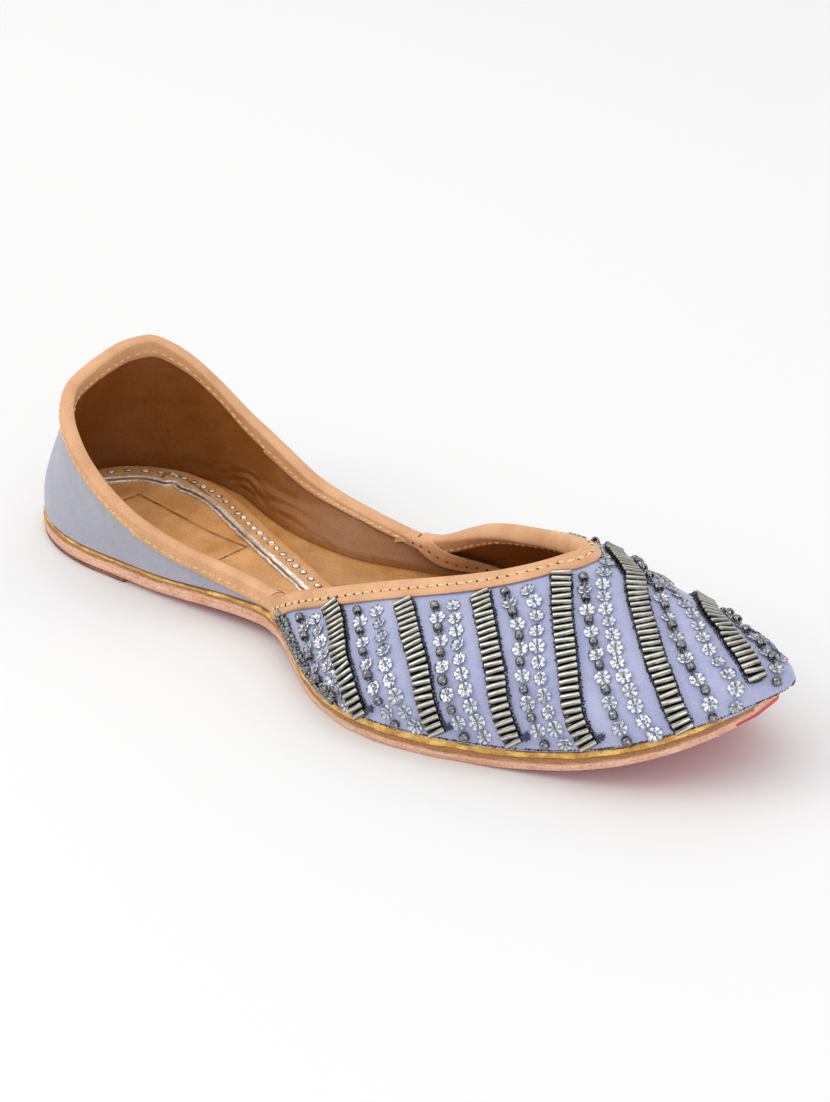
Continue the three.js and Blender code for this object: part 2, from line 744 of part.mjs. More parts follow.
function quarterBinding() {
  const stations = (side) => stationsOf(side).filter((along) => along < NOTCH[side]).reverse();
  return binding(stations(NEAR), stations(FAR), QUARTER_FACE, 0);
}

function vampBinding() {
  const stations = (side) => {
    return stationsOf(side).filter((along) => along > NOTCH[side] && along <= THROAT);
  };
  return binding(stations(NEAR), stations(FAR), VAMP_FACE, VAMP_STEP);
}

const group = new THREE.Group();
group.add(part("heel_lift", heelLift(), "#6b4632", 0.8));
group.add(part("outsole", outsole(), "#e2b596", 0.7));
group.add(part("rand", rand(), "#b08d3f", 0.75));
group.add(part("upper", upper(), "#9aa2c6", 0.75));
group.add(part("quarter_binding", quarterBinding(), "#d29a6c", 0.6));
group.add(part("vamp_binding", vampBinding(), "#d8a071", 0.6));
group.add(part("insole_pad", insolePad(), "#a9723f", 0.55));
group.add(part("heel_sock", heelSock(), "#a46c3a", 0.5));
group.add(part("sock_border", sockBorder(), "#b17a45", 0.5));
group.add(part("quarter_tail_near", quarterTail(NEAR), "#d29a6c", 0.6));
group.add(part("quarter_tail_far", quarterTail(FAR), "#d29a6c", 0.6));

// The origin is under the middle of the shoe, on the floor
const bounds = new THREE.Box3().setFromObject(group);
const middle = bounds.getCenter(new THREE.Vector3());
group.position.set(-middle.x, -middle.y, -bounds.min.z);
group.updateMatrixWorld(true);

export default group;
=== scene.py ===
"""Right-foot mojari: bead-embroidered cloth slip-on on a turned-up leather sole.

Points are worked out in the last's own millimetres: "at" forward from the back of the heel, "along" the
station of a wall, "rise" from the foot of the wall (0) to its upper edge (1).
"""

import json
import math

import bmesh
import bpy
import numpy as np
from bpy.props import FloatProperty, FloatVectorProperty, IntProperty, PointerProperty
from mathutils import Matrix, Vector

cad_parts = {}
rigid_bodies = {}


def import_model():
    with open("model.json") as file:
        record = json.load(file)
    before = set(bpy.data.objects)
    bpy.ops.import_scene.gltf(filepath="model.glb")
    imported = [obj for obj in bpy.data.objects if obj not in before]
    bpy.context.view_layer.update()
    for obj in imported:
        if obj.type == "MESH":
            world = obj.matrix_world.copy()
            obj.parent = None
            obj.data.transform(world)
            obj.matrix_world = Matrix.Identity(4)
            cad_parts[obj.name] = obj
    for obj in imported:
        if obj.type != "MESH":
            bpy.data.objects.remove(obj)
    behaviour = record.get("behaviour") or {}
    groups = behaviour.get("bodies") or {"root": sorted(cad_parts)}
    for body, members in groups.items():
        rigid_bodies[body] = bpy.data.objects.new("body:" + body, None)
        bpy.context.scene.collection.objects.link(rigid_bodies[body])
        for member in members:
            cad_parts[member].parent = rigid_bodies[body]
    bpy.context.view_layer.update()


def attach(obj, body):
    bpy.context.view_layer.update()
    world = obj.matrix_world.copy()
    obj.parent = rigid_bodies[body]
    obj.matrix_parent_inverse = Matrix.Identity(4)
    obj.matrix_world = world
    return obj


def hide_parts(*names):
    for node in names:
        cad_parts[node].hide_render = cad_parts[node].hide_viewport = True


bl_info = {
    "name": "Mojari shoe",
    "version": (1, 0, 0),
    "blender": (4, 5, 0),
    "location": "View3D > Sidebar > Mojari",
    "description": "Dresses the mojari's solids with cloth, leather, stitches and beadwork",
    "category": "Add Mesh",
}

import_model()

# Where the last's zero stands in the row frame
HEEL_BACK = 126.287
MIDDLE = 7.495

# The last's own sizes, and first its two sides
NEAR, FAR = SIDES = (-1, 1)
# Thicknesses from the floor up: heel lift, outsole, rand, insole pad, heel sock and its border; GAP parts two pieces
LIFT, SOLE, RAND, PAD, SOCK, BORDER, GAP = 1.3, 4.2, 1.5, 1.8, 1.0, 0.8, 0.3
# Thicknesses of the upper: its wall, the wall at the nose, the cloth, the vamp's step, a binding and a tail
WALL, WALL_AT_NOSE, CLOTH, VAMP_STEP, BINDING, TAIL = 1.8, 1.1, 0.7, 1.0, 0.8, 1.0
# Where the lift, the heel's round, the sole and the nose end, forward from the heel's back
LIFT_LENGTH, HEEL_ROUND, SOLE_END, NOSE_END = 48, 38, 245.5, 251.5
# Stations: the heel's arc, the throat, the notch where quarter and vamp meet, and half the room in it
HEEL_ARC, THROAT, NOTCH, NOTCH_HALF = 52, 149.5, {NEAR: 68, FAR: 80}, 0.4
NOSE_ALONG, SOLE_ALONG = NOSE_END - HEEL_ROUND, SOLE_END - HEEL_ROUND
HEEL_HALF = {NEAR: 26.6, FAR: 28.2}
# Set in from the sole's outline: the rand, the upper's foot and the sock; and how much shows of rand and pad
RAND_SETBACK, FOOT_SETBACK, SOCK_SETBACK, RAND_SHOWN, PAD_SHOWN = 0.4, 0.6, 6.2, 1.5, 2.5
# Widths: the border to each side of its middle line, and the faces of the two bindings, outside and inside
BORDER_OUTER, BORDER_INNER = 4.2, 3.6
QUARTER_FACE, VAMP_FACE, INNER_FACE, VAMP_INNER_FACE = 4.5, 5.2, 5.0, 3.2
# The raised waist, and the toe spring that starts at the ball of the foot
WAIST_AT, WAIST_RISE, WAIST_SPAN = 97, 3.4, 42
BALL_AT, SPRING, SPRING_RUN, SPRING_POWER = 182, 16, 63, 1.9

# Small room between two faces that would otherwise be one, and the room under a layer that lies on another
HAIR, BED = 0.02, 0.05
# How much of its thickness a strip keeps at its skived edges
SKIVED = 0.45
# Points nearer than this are one; degrees past which an edge is sharp; knots of the seeded unevenness
WELD, SHARP, KNOTS = 0.002, 50, 512
# From where to where the rand swells and stands out, toward the ball of the foot
RAND_SWELLS, RAND_SPREADS = (70, 118), (92, 118)
# Scale at which a band pattern has one band to a millimetre
BAND = 0.314
# How an item to be repeated is laid
AS_MADE, UPRIGHT, SIDEWAYS = Matrix(), Matrix.Rotation(-math.pi / 2, 4, "Y"), Matrix.Rotation(math.pi / 2, 4, "Z")

# Sole's outline: at, near half width, far half width
SOLE_EDGE = (
    (38, 26.6, 28.2), (50, 26.9, 26.6), (60, 27.1, 22.8), (70, 27.2, 18.4), (80, 27.1, 14.8),
    (90, 26.9, 12.6), (98, 26.8, 12.2), (106, 28.6, 13.6), (113, 32.8, 16.6), (121, 38.4, 20.8),
    (130, 44.0, 25.8), (140, 48.4, 30.6), (150, 50.9, 34.0), (158, 51.2, 35.6), (172, 49.2, 36.0),
    (186, 45.0, 33.6), (202, 40.4, 29.4), (214, 36.8, 25.8), (224, 32.4, 22.2), (232, 27.0, 18.6),
    (238, 20.8, 15.0), (242, 14.4, 11.6), (245.5, 5.6, 6.4),
)
# Foot of the upper round the nose: at, near half width, far half width
NOSE_FOOT = (
    (232, 26.2, 17.9), (238, 20.6, 14.8), (242, 15.4, 12.2), (246, 10.0, 9.0), (249, 5.8, 5.6),
    (250.8, 2.6, 2.6), (251.5, 0, 0),
)
# Toplines: along, at, half width, height
TOPLINE_NEAR = (
    (-52, 15.8, 0, 49.8), (-39, 17.6, 10.4, 48.6), (-26, 22.4, 19.2, 46.6), (-13, 29.6, 25.8, 42.4),
    (0, 38.5, 29.8, 36.6), (8, 46, 30.9, 31.4), (16, 54, 31.0, 26.6), (26, 64, 30.0, 22.2),
    (36, 74, 28.4, 19.0), (46, 84, 26.8, 17.0), (56, 94, 26.2, 15.6), (63, 101, 26.8, 15.0),
    (68, 106, 28.0, 15.2), (76, 114, 29.8, 19.2), (86, 124, 29.6, 23.6), (95, 133, 27.8, 26.8),
    (105, 143, 25.0, 29.8), (115, 153, 21.8, 32.3), (125, 163, 17.8, 34.7), (134, 172, 13.2, 37.0),
    (141, 179, 8.8, 39.2), (145.5, 183.5, 5.2, 40.8), (148, 186, 2.5, 41.8), (149.5, 187.5, 0, 42.3),
)
TOPLINE_FAR = (
    (-52, 15.8, 0, 49.8), (-39, 16.0, 10.8, 51.2), (-26, 19.6, 19.8, 51.6), (-13, 28.0, 25.6, 47.2),
    (0, 38.0, 28.4, 39.8), (8, 46, 29.4, 33.6), (16, 54, 29.4, 29.0), (24, 62, 28.4, 25.8),
    (33, 71, 26.0, 23.4), (42, 80, 23.6, 21.6), (51, 89, 21.8, 20.6), (59, 97, 20.8, 19.8),
    (66, 104, 20.6, 18.8), (73, 111, 21.2, 17.4), (80, 118, 22.2, 16.0), (84.5, 122.5, 22.2, 16.8),
    (91, 129, 21.3, 19.8), (98, 136, 20.2, 23.8), (106, 144, 18.6, 28.0), (114, 152, 16.9, 31.0),
    (123, 161, 14.7, 33.7), (131, 169, 12.2, 36.2), (138, 176, 9.3, 38.4), (144, 182, 5.6, 40.5),
    (148, 186, 2.3, 41.8), (149.5, 187.5, 0, 42.3),
)
# Crest of the vamp: at, height
CREST = (
    (187.5, 42.3), (196, 40.6), (206, 38.8), (216, 36.7), (226, 34.5), (236, 32.3), (243, 30.7),
    (248, 29.4), (251.5, 28.0),
)
# Bow of the wall: along, near lean, far lean, turn of the top edge, fullness
BOW = (
    (-52, -2, -2, 66, 0.36), (-26, 2, 2, 74, 0.36), (0, 6, 8, 88, 0.36), (26, 6, 34, 92, 0.36),
    (46, 4, 48, 88, 0.36), (66, 10, 48, 84, 0.36), (80, 26, 44, 70, 0.4), (95, 24, 38, 52, 0.42),
    (115, 12, 22, 34, 0.44), (135, 8, 10, 22, 0.45), (150, 6, 6, 14, 0.46), (180, 8, 8, 8, 0.48),
    (213.5, 8, 8, 4, 0.5),
)
# Middle line of the punched border: at, y
SOCK_LINE = (
    (9.3, 0), (10, 4.2), (12, 8.0), (16, 12.2), (23, 16.2), (32, 18.2), (42, 17.2), (52, 14),
    (62, 9.4), (72, 4.2), (82, -0.8), (92, -5.4), (102, -9.6), (112, -13.2),
)

# The blank stamped frame on the sock: its middle, its direction and its half sizes
STAMP_AT, STAMP_RUN, STAMP_HALF = (49.3, -7.0), (47.6, -7.8), (24.4, 8.0)

# Quarter's tails inside the vamp: along, height of the upper edge and of the lower
TAILS = {
    NEAR: ((61, 14.4, 10.6), (65, 15.6, 11.2), (68, 15.9, 11.2), (76, 13.4, 9.0), (84, 9.2, 7.6)),
    FAR: ((73, 16.9, 12.9), (77, 17.9, 13.6), (80, 18.1, 13.5), (86, 18, 10.4), (92, 16.9, 7.4), (98, 14.4, 6.9),
          (104, 10.6, 6.7)),
}

# Lines of the beadwork: along, and climb, which is the rise on the near side and two less the rise on the
# far side, so that a line that crosses the crest passes 1
BUGLE_LINES = (
    ((92, 0.79), (99, 0.58), (105.5, 0.38), (110.5, 0.26), (117, 0.05)),
    ((114, 0.81), (122, 0.6), (130, 0.39), (139, 0.06)),
    ((133.5, 0.83), (141, 0.62), (149, 0.38), (159, 0.06)),
    ((150, 0.85), (157.5, 0.68), (166, 0.48), (178, 0.06)),
    ((197.5, 0.07), (196, 0.2), (191, 0.46), (184, 0.65), (179, 0.76), (172, 0.89), (166.5, 1), (159, 1.135),
     (153, 1.23), (146, 1.36), (139, 1.54), (132, 1.74), (126, 1.94)),
    ((205.5, 0.58), (203.5, 0.72), (200.5, 0.88), (195, 1), (190, 1.08), (186, 1.16), (181, 1.3), (175, 1.5),
     (168, 1.7), (160, 1.94)),
)
BEAD_LINES = (
    ((84, 0.58), (91, 0.37), (97, 0.23), (102, 0.13), (107, 0.06)),
    ((102, 0.74), (110, 0.5), (119, 0.25), (127.5, 0.05)),
    ((123.5, 0.78), (131, 0.56), (139, 0.28), (146, 0.05)),
    ((140, 0.81), (149, 0.58), (158, 0.33), (167, 0.06)),
    ((155.5, 0.88), (159, 0.81), (165, 0.69), (170, 0.59), (178, 0.4), (184, 0.18), (186.5, 0.06)),
    ((202, 0.1), (200, 0.36), (196, 0.55), (188.5, 0.75), (181.5, 0.88), (174.5, 1), (169, 1.1), (162, 1.23),
     (154, 1.4), (146, 1.58), (139, 1.77), (133, 1.94)),
    ((210.5, 0.5), (209.2, 0.73), (208, 0.95), (206.8, 1.05), (203, 1.13), (198.5, 1.2), (193, 1.3),
     (186, 1.45), (178, 1.65), (169, 1.94)),
)
SEQUIN_LINES = (
    ((89, 0.62), (94, 0.48), (100, 0.33), (106, 0.2), (112, 0.06)),
    ((107.5, 0.75), (115, 0.54), (124, 0.28), (133, 0.06)),
    ((128, 0.78), (135, 0.57), (143, 0.31), (151, 0.06)),
    ((145, 0.8), (153, 0.6), (162, 0.36), (172, 0.06)),
    ((192, 0.07), (188, 0.25), (183, 0.43), (177, 0.56), (173, 0.66), (167, 0.77), (163, 0.85), (159, 0.94),
     (156.5, 1.03), (151.5, 1.13), (146, 1.26), (139, 1.43), (132, 1.62), (125, 1.8), (120, 1.94)),
    ((205.5, 0.15), (203, 0.48), (199.5, 0.67), (196, 0.77), (192, 0.86), (187, 0.96), (183, 1.02), (176, 1.13),
     (169, 1.25), (161, 1.42), (153, 1.6), (146, 1.78), (140, 1.94)),
    ((207, 1.28), (201, 1.4), (194, 1.52), (187, 1.66), (180, 1.8), (173, 1.94)),
)
# String of small beads along the edge of each wing: along, rise
EDGE_BEADS = ((72, 0.62), (73.5, 0.37), (79.5, 0.26), (86, 0.19), (92, 0.13), (98, 0.09), (108, 0.04))
# Where the bands of the far wing start below its topline
FAR_BUGLES = (134, 115, 97)
FAR_BEADS = (141.5, 122.5, 104, 90.5)
FAR_SEQUINS = (127.5, 109)

# Folds of the lining, pressed in: side, start (along, rise), end, half width, depth in mm
FOLDS = (
    (FAR, (6, 0.02), (64, 0.34), 1.5, -0.9),
    (FAR, (10, 0.12), (58, 0.42), 1.6, 0.7),
    (FAR, (4, 0.2), (40, 0.44), 1.3, -0.6),
    (FAR, (22, 0.02), (72, 0.22), 1.4, -0.8),
    (FAR, (26, 0.1), (66, 0.28), 1.2, 0.6),
    (FAR, (30, 0.36), (60, 0.62), 1.6, -0.45),
    (FAR, (40, 0.02), (80, 0.14), 1.5, 0.6),
    (FAR, (-10, 0.06), (20, 0.2), 1.8, -0.7),
    (FAR, (-20, 0.12), (10, 0.3), 1.9, 0.5),
    (NEAR, (20, 0.25), (52, 0.5), 2.8, -0.5),
    (NEAR, (-10, 0.2), (26, 0.36), 3.0, 0.4),
)

# Edges of the sole's layers, from the lower face to the upper: setback, share of the height
SOLE_PROFILE = (
    (1.1, 0), (0.5, 0.03), (0.15, 0.12), (0, 0.3), (0.05, 0.5), (0, 0.7), (0.15, 0.88), (0.5, 0.98), (1.0, 1),
)
LIFT_PROFILE = ((0.5, 0), (0.1, 0.2), (0, 0.5), (0.1, 0.8), (0.5, 1))
PAD_PROFILE = ((0.4, 0), (0, 0.4), (0.05, 0.8), (0.5, 1))

# Threads, and the painted shade of a needle's hole: light tone, dark tone
THREADS = {
    "cream_thread": ("#f2dcae", "#c79a55"), "gold_thread": ("#f0cf8c", "#b98a3c"),
    "white_thread": ("#f6efe6", "#d8c5b6"), "dark_thread": ("#2c2f3c", "#101116"),
    "navy_thread": ("#3b3f66", "#1a1c30"), "grey_thread": ("#8d93a8", "#4a4e60"),
    "needle_hole": ("#3d2414", "#22140c"),
}

# Studio: half width of the floor in metres, and the lights' places in metres, sizes, watts and tints
FLOOR = 4.0
LIGHTS = (
    ("overhead", (-0.3, -0.2, 1.5), 2.2, 8, "#ffffff"),
    ("front_left", (-1.0, -0.9, 1.0), 0.9, 5, "#fffaf4"),
    ("toe_side", (1.35, -0.75, 0.5), 1.2, 5, "#f6f8ff"),
)
# The camera, matched to the photograph: degrees, mm, and a point of the shoe that it looks at
CAMERA_AZIMUTH, CAMERA_ELEVATION, CAMERA_ROLL = 38.0, 28.5, -0.8
CAMERA_DISTANCE, CAMERA_LENS = 900, 106.9
CAMERA_TARGET = (1.283, 14.18, 21.37)


def column(table, value):
    """A smooth curve through one column of a table, without overshoot."""
    x = np.array([row[0] for row in table], float)
    y = np.array([row[value] for row in table], float)
    slope = np.diff(y) / np.diff(x)
    before, after = slope[:-1], slope[1:]
    tangent = np.concatenate(([slope[0]], np.zeros(len(x) - 2), [slope[-1]]))
    same = np.flatnonzero(before * after > 0)
    tangent[same + 1] = 2 * (before * after)[same] / (before + after)[same]

    def read(at):
        t = np.clip(at, x[0], x[-1])
        i = np.clip(np.searchsorted(x, t, side="right") - 1, 0, len(x) - 2)
        span = x[i + 1] - x[i]
        u = (t - x[i]) / span
        start = y[i] * (1 + 2 * u) * (1 - u) ** 2 + tangent[i] * span * u * (1 - u) ** 2
        return start + y[i + 1] * u * u * (3 - 2 * u) + tangent[i + 1] * span * u * u * (u - 1)

    return read


edge_half = {side: column(SOLE_EDGE, i) for i, side in enumerate(SIDES, 1)}
nose_half = {side: column(NOSE_FOOT, i) for i, side in enumerate(SIDES, 1)}
topline = {side: [column(table, i) for i in (1, 2, 3)] for side, table in zip(SIDES, (TOPLINE_NEAR, TOPLINE_FAR))}
crest = column(CREST, 1)
lean = {side: column(BOW, i) for i, side in enumerate(SIDES, 1)}
turn_at, fill_at = column(BOW, 3), column(BOW, 4)
sock_line = column(SOCK_LINE, 1)


def smoothstep(value, low, high):
    """Soft step from 0 to 1 as a value goes from low to high."""
    t = np.clip((np.asarray(value, float) - low) / (high - low), 0, 1)
    return t * t * (3 - 2 * t)


def underside(at):
    """Height of the outsole's underside: flat under heel and ball."""
    at = np.asarray(at, float)
    heel = LIFT * (1 - smoothstep(at, LIFT_LENGTH, 110))
    waist = WAIST_RISE * np.maximum(0, 1 - ((at - WAIST_AT) / WAIST_SPAN) ** 2) ** 2
    return heel + waist + SPRING * (np.maximum(0, at - BALL_AT) / SPRING_RUN) ** SPRING_POWER


def top_of_sole(at):
    """Height of the outsole's upper face."""
    return underside(at) + SOLE


def seat(at):
    """Height at which the upper stands on the rand."""
    return top_of_sole(at) + GAP + RAND + GAP


def floor_top(at):
    """Height of the insole pad's upper face."""
    return top_of_sole(at) + GAP + PAD


def outline(side, along, setback=0.0):
    """Point of the sole's outline at a station, set in from the edge: at and y."""
    along = np.asarray(along, float)
    angle = np.pi / 2 * (1 + np.minimum(along, 0) / HEEL_ARC)
    heel_at = HEEL_ROUND - (HEEL_ROUND - setback) * np.cos(angle)
    heel_y = (HEEL_HALF[side] - setback) * np.sin(angle)
    at = HEEL_ROUND + along
    slope = edge_half[side](at + 0.5) - edge_half[side](at - 0.5)
    y = edge_half[side](at) - setback * np.hypot(1, slope)
    return np.where(along < 0, heel_at, at), side * np.where(along < 0, heel_y, y)


def foot(side, along):
    """Line on which the wall of the last stands."""
    along = np.asarray(along, float)
    x, y = outline(side, along, FOOT_SETBACK)
    at = HEEL_ROUND + along
    nose = along >= NOSE_FOOT[0][0] - HEEL_ROUND
    x = np.where(nose, at, x)
    y = np.where(nose, side * nose_half[side](at), y)
    return np.stack([x, y, seat(x)], -1)


def rim(side, along):
    """Upper edge of the last's wall: the topline, and past the throat the crest."""
    along = np.asarray(along, float)
    at, half, height = (read(along) for read in topline[side])
    front = along >= THROAT
    here = HEEL_ROUND + along
    x = np.where(front, here, at)
    return np.stack([x, side * np.where(front, 0, half), np.where(front, crest(here), height)], -1)


def outward(side, along):
    """Level direction away from the last at its foot."""
    at = HEEL_ROUND + along
    heel = np.pi / 2 * (1 + np.minimum(along, 0) / HEEL_ARC)
    toe = np.pi / 2 * smoothstep(at, NOSE_FOOT[0][0], NOSE_END)
    x = np.where(along < 0, -np.cos(heel), np.sin(toe))
    y = side * np.where(along < 0, np.sin(heel), np.where(at >= NOSE_END, 0, np.cos(toe)))
    return np.stack([x, y, np.zeros_like(x)], -1)


def skin(side, along, rise):
    """Surface of the last, from foot (rise 0) to upper edge (rise 1)."""
    along, rise = np.broadcast_arrays(np.asarray(along, float), np.asarray(rise, float))
    low, high, out = foot(side, along), rim(side, along), outward(side, along)
    up = np.array([0, 0, 1.0])
    height = (high - low)[..., 2:]
    reach = np.hypot(high[..., :1] - low[..., :1], high[..., 1:2] - low[..., 1:2])
    flare = np.radians(lean[side](along))[..., None]
    turn = np.radians(turn_at(along))[..., None]
    fill = fill_at(along)[..., None]
    t = rise[..., None]
    low_handle = low + fill * height * (up * np.cos(flare) + out * np.sin(flare))
    high_handle = high + fill * (out * reach * np.cos(turn) - up * height * np.sin(turn))
    start = low * (1 - t) ** 3 + 3 * low_handle * t * (1 - t) ** 2
    return start + 3 * high_handle * t * t * (1 - t) + high * t**3


def unit(vectors):
    """The same directions at length 1."""
    return vectors / np.linalg.norm(vectors, axis=-1, keepdims=True)


def normal(side, along, rise):
    """Outward normal of the last; level at the foot, and in the middle plane on the crest."""
    along, rise = np.broadcast_arrays(np.asarray(along, float), np.asarray(rise, float))
    step = 0.6
    ahead = skin(side, np.minimum(along + step, NOSE_ALONG), rise)
    behind = skin(side, np.maximum(along - step, -HEEL_ARC), rise)
    above = skin(side, along, np.minimum(rise + 0.02, 1))
    below_it = skin(side, along, np.maximum(rise - 0.02, 0))
    out = np.cross(ahead - behind, above - below_it) * -side
    out[..., 1] = np.where(along <= -HEEL_ARC, 0, out[..., 1])
    out[..., 2] = np.where(rise <= 0, 0, out[..., 2])
    at = HEEL_ROUND + along
    over = np.stack([crest(at) - crest(at + step), np.zeros_like(at), np.full_like(at, step)], -1)
    on_crest = ((rise >= 1) & (along >= THROAT))[..., None]
    out = np.where(on_crest, over, out)
    return unit(np.where((along >= NOSE_ALONG)[..., None], np.array([1.0, 0, 0]), out))


def lifted(side, along, rise, lift):
    """A point lifted off the last, outward when positive; the foot keeps its height."""
    point = skin(side, along, rise)
    moved = point + normal(side, along, rise) * np.asarray(lift, float)[..., None]
    low = np.broadcast_to(np.asarray(rise, float), point.shape[:-1]) <= 0
    moved[..., 2] = np.where(low, point[..., 2], moved[..., 2])
    return moved


def wall_at(along):
    """Thickness of the wall, which thins toward the nose."""
    return WALL + (WALL_AT_NOSE - WALL) * smoothstep(along, 190, NOSE_ALONG)


def stations(start, end, spacing):
    """Stations between two ends, a given way apart at most, with the throat among them."""
    count = max(int(math.ceil((end - start) / spacing)), 1)
    found = np.linspace(start, end, count + 1)
    if start < THROAT < end:
        found = np.union1d(found, [THROAT])
        found = found[(np.abs(found - THROAT) > spacing / 3) | (found == THROAT)]
    return found


def nearest_rise(side, along, target):
    """Rise on the wall of each station whose point lies nearest to a target."""
    best = np.full(np.shape(along), 0.5)
    for reach, count in ((0.5, 61), (0.02, 21)):
        rises = np.clip(best[..., None] + np.linspace(-reach, reach, count), 0, 1)
        points = skin(side, np.asarray(along)[..., None], rises)
        away = np.linalg.norm(points - target[..., None, :], axis=-1)
        pick = away.argmin(-1)[..., None]
        best = np.take_along_axis(rises, pick, -1)[..., 0]
    return best


def below(side, along, width):
    """Station and rise of the place a given way below the topline, square to it."""
    along, width = np.broadcast_arrays(np.asarray(along, float), np.asarray(width, float))
    step = 0.3
    ahead = rim(side, np.minimum(along + step, THROAT))
    tangent = ahead - rim(side, np.maximum(along - step, -HEEL_ARC))
    ends = ((along <= -HEEL_ARC) | (along >= THROAT))[..., None]
    tangent = unit(np.where(ends, np.array([0.0, -side, 0]), tangent))
    face = normal(side, np.minimum(along, THROAT - 0.01), np.ones_like(along))
    face[..., 1] = np.where(along >= THROAT, 0, face[..., 1])
    down = unit(np.cross(tangent, face) * -side)
    down = np.where(down[..., 2:] > 0, -down, down)
    target = rim(side, along) + down * width[..., None]
    station = np.where(along < 20, along, np.maximum(target[..., 0] - HEEL_ROUND, 0))
    return station, nearest_rise(side, station, target)


def to_world(points):
    """Millimetres of the last to metres of the row frame."""
    return (np.asarray(points, float) + np.array([-HEEL_BACK, MIDDLE, 0])) / 1000


def wander(values, seed, size):
    """Smooth, seeded unevenness between -1 and 1 along a coordinate, a given way from swell to swell."""
    rng = np.random.default_rng(seed)
    knots = rng.uniform(-1, 1, KNOTS)
    t = np.asarray(values, float) / size + 100
    i = np.floor(t).astype(int)
    u = t - i
    return between(knots[i % KNOTS], knots[(i + 1) % KNOTS], u * u * (3 - 2 * u))


def between(first, last, share):
    """A share of the way from the first to the last."""
    return first * (1 - share) + last * share


def run_of(line):
    """Length run along a line at each of its points."""
    return np.concatenate([[0], np.cumsum(np.linalg.norm(np.diff(line, axis=0), axis=-1))])


def closed(sections):
    """Sections with their first point again at their end."""
    return np.concatenate([sections, sections[:, :1]], 1)


def cleaned(mesh, weld=0.0):
    """Merges points within a distance in millimetres, turns faces outward and smooths them."""
    work = bmesh.new()
    work.from_mesh(mesh)
    if weld:
        bmesh.ops.remove_doubles(work, verts=work.verts, dist=weld / 1000)
    bmesh.ops.recalc_face_normals(work, faces=work.faces)
    work.to_mesh(mesh)
    work.free()
    mesh.shade_smooth()


def settle(piece, slot, *nodes):
    """Gives a finished piece its body, and hides the solids that it stands for; its slot is not used."""
    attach(piece, "root")
    if nodes:
        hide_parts(*nodes)


class Patches:
    """Grids of points in the last's millimetres, welded into one closed mesh."""

    def __init__(self):
        self.points, self.faces, self.uvs, self.slots = [], [], [], []
        self.count = 0

    def grid(self, points, uv=None, slot=0):
        """A sheet of four-sided faces; its own plan serves as its surface coordinates where none are given."""
        rows, columns = points.shape[:2]
        index = self.count + np.arange(rows * columns).reshape(rows, columns)
        quads = np.stack([index[:-1, :-1], index[1:, :-1], index[1:, 1:], index[:-1, 1:]], -1).reshape(-1, 4)
        uv = points[..., :2] if uv is None else uv
        self.points.append(points.reshape(-1, 3))
        self.uvs.append(np.broadcast_to(uv, (rows, columns, 2)).reshape(-1, 2))
        self.faces.append(quads)
        self.slots.append(np.full(len(quads), slot))
        self.count += rows * columns

    def wall(self, outer, inner, uv, open_first=False, open_last=False, top_rows=None):
        """Two skins and the edges between them; rows are stations and columns go up the wall."""
        self.grid(outer, uv)
        self.grid(inner, uv)
        joined, doubled = np.stack([outer, inner], 2), np.stack([uv, uv], 2)
        self.grid(joined[:, 0], doubled[:, 0])
        self.grid(joined[:top_rows, -1], doubled[:top_rows, -1])
        for end, is_open in ((0, open_first), (-1, open_last)):
            if not is_open:
                self.grid(joined[end], doubled[end])

    def loop(self, sections, uv):
        """Closed sections swept along the first axis, capped at both ends."""
        self.grid(closed(sections), uv)
        half = sections.shape[1] // 2
        for end in (0, -1):
            pair = np.stack([sections[end, :half], sections[end, ::-1][:half]], 1)
            self.grid(pair, np.zeros((half, 2, 2)) + uv[end, 0])

    def make(self, name, finishes, slot, *nodes, weld=WELD):
        """Welds the grids into a piece that stands for the given solids."""
        faces = np.concatenate(self.faces)
        mesh = bpy.data.meshes.new(name)
        mesh.from_pydata(to_world(np.concatenate(self.points)).tolist(), [], faces.tolist())
        layer = mesh.uv_layers.new(name="Surface")
        layer.data.foreach_set("uv", np.concatenate(self.uvs)[faces.ravel()].ravel())
        mesh.polygons.foreach_set("material_index", np.concatenate(self.slots).astype(np.int32))
        for finish in finishes:
            mesh.materials.append(finish_of(finish))
        cleaned(mesh, weld)
        mesh.set_sharp_from_angle(angle=math.radians(SHARP))
        piece = bpy.data.objects.new(name, mesh)
        bpy.context.scene.collection.objects.link(piece)
        settle(piece, slot, *nodes)


# Materials


def colour(code):
    """sRGB hex to a linear colour."""
    channels = [int(code[i : i + 2], 16) / 255 for i in (1, 3, 5)]
    linear = [c / 12.92 if c <= 0.04045 else ((c + 0.055) / 1.055) ** 2.4 for c in channels]
    return (*linear, 1.0)


def chosen(name):
    """A colour that the user sets, as four channels."""
    return (*getattr(bpy.context.scene.mojari_colours, name), 1.0)


def shade(base, red, green, blue):
    """A darker tone of a colour, channel by channel."""
    return (base[0] * red, base[1] * green, base[2] * blue, 1.0)


def add(tree, kind, links=None, out=0, **settings):
    """Adds one node with its settings and gives its output of a name or number, or the node where that is None.

    Links gives values or sockets to its inputs, by name or number.
    """
    node = tree.nodes.new(kind)
    for name, value in settings.items():
        setattr(node, name, value)
    for socket, value in (links or {}).items():
        if isinstance(value, bpy.types.NodeSocket):
            tree.links.new(value, node.inputs[socket])
        else:
            node.inputs[socket].default_value = value
    return node if out is None else node.outputs[out]


def new_material(name):
    """A material with its tree and its one shader, to be dressed."""
    material = bpy.data.materials.new(name)
    material.use_nodes = True
    tree = material.node_tree
    tree.nodes.clear()
    output = add(tree, "ShaderNodeOutputMaterial", out=None)
    shader = add(tree, "ShaderNodeBsdfPrincipled", out=None)
    tree.links.new(shader.outputs["BSDF"], output.inputs["Surface"])
    return material, tree, shader


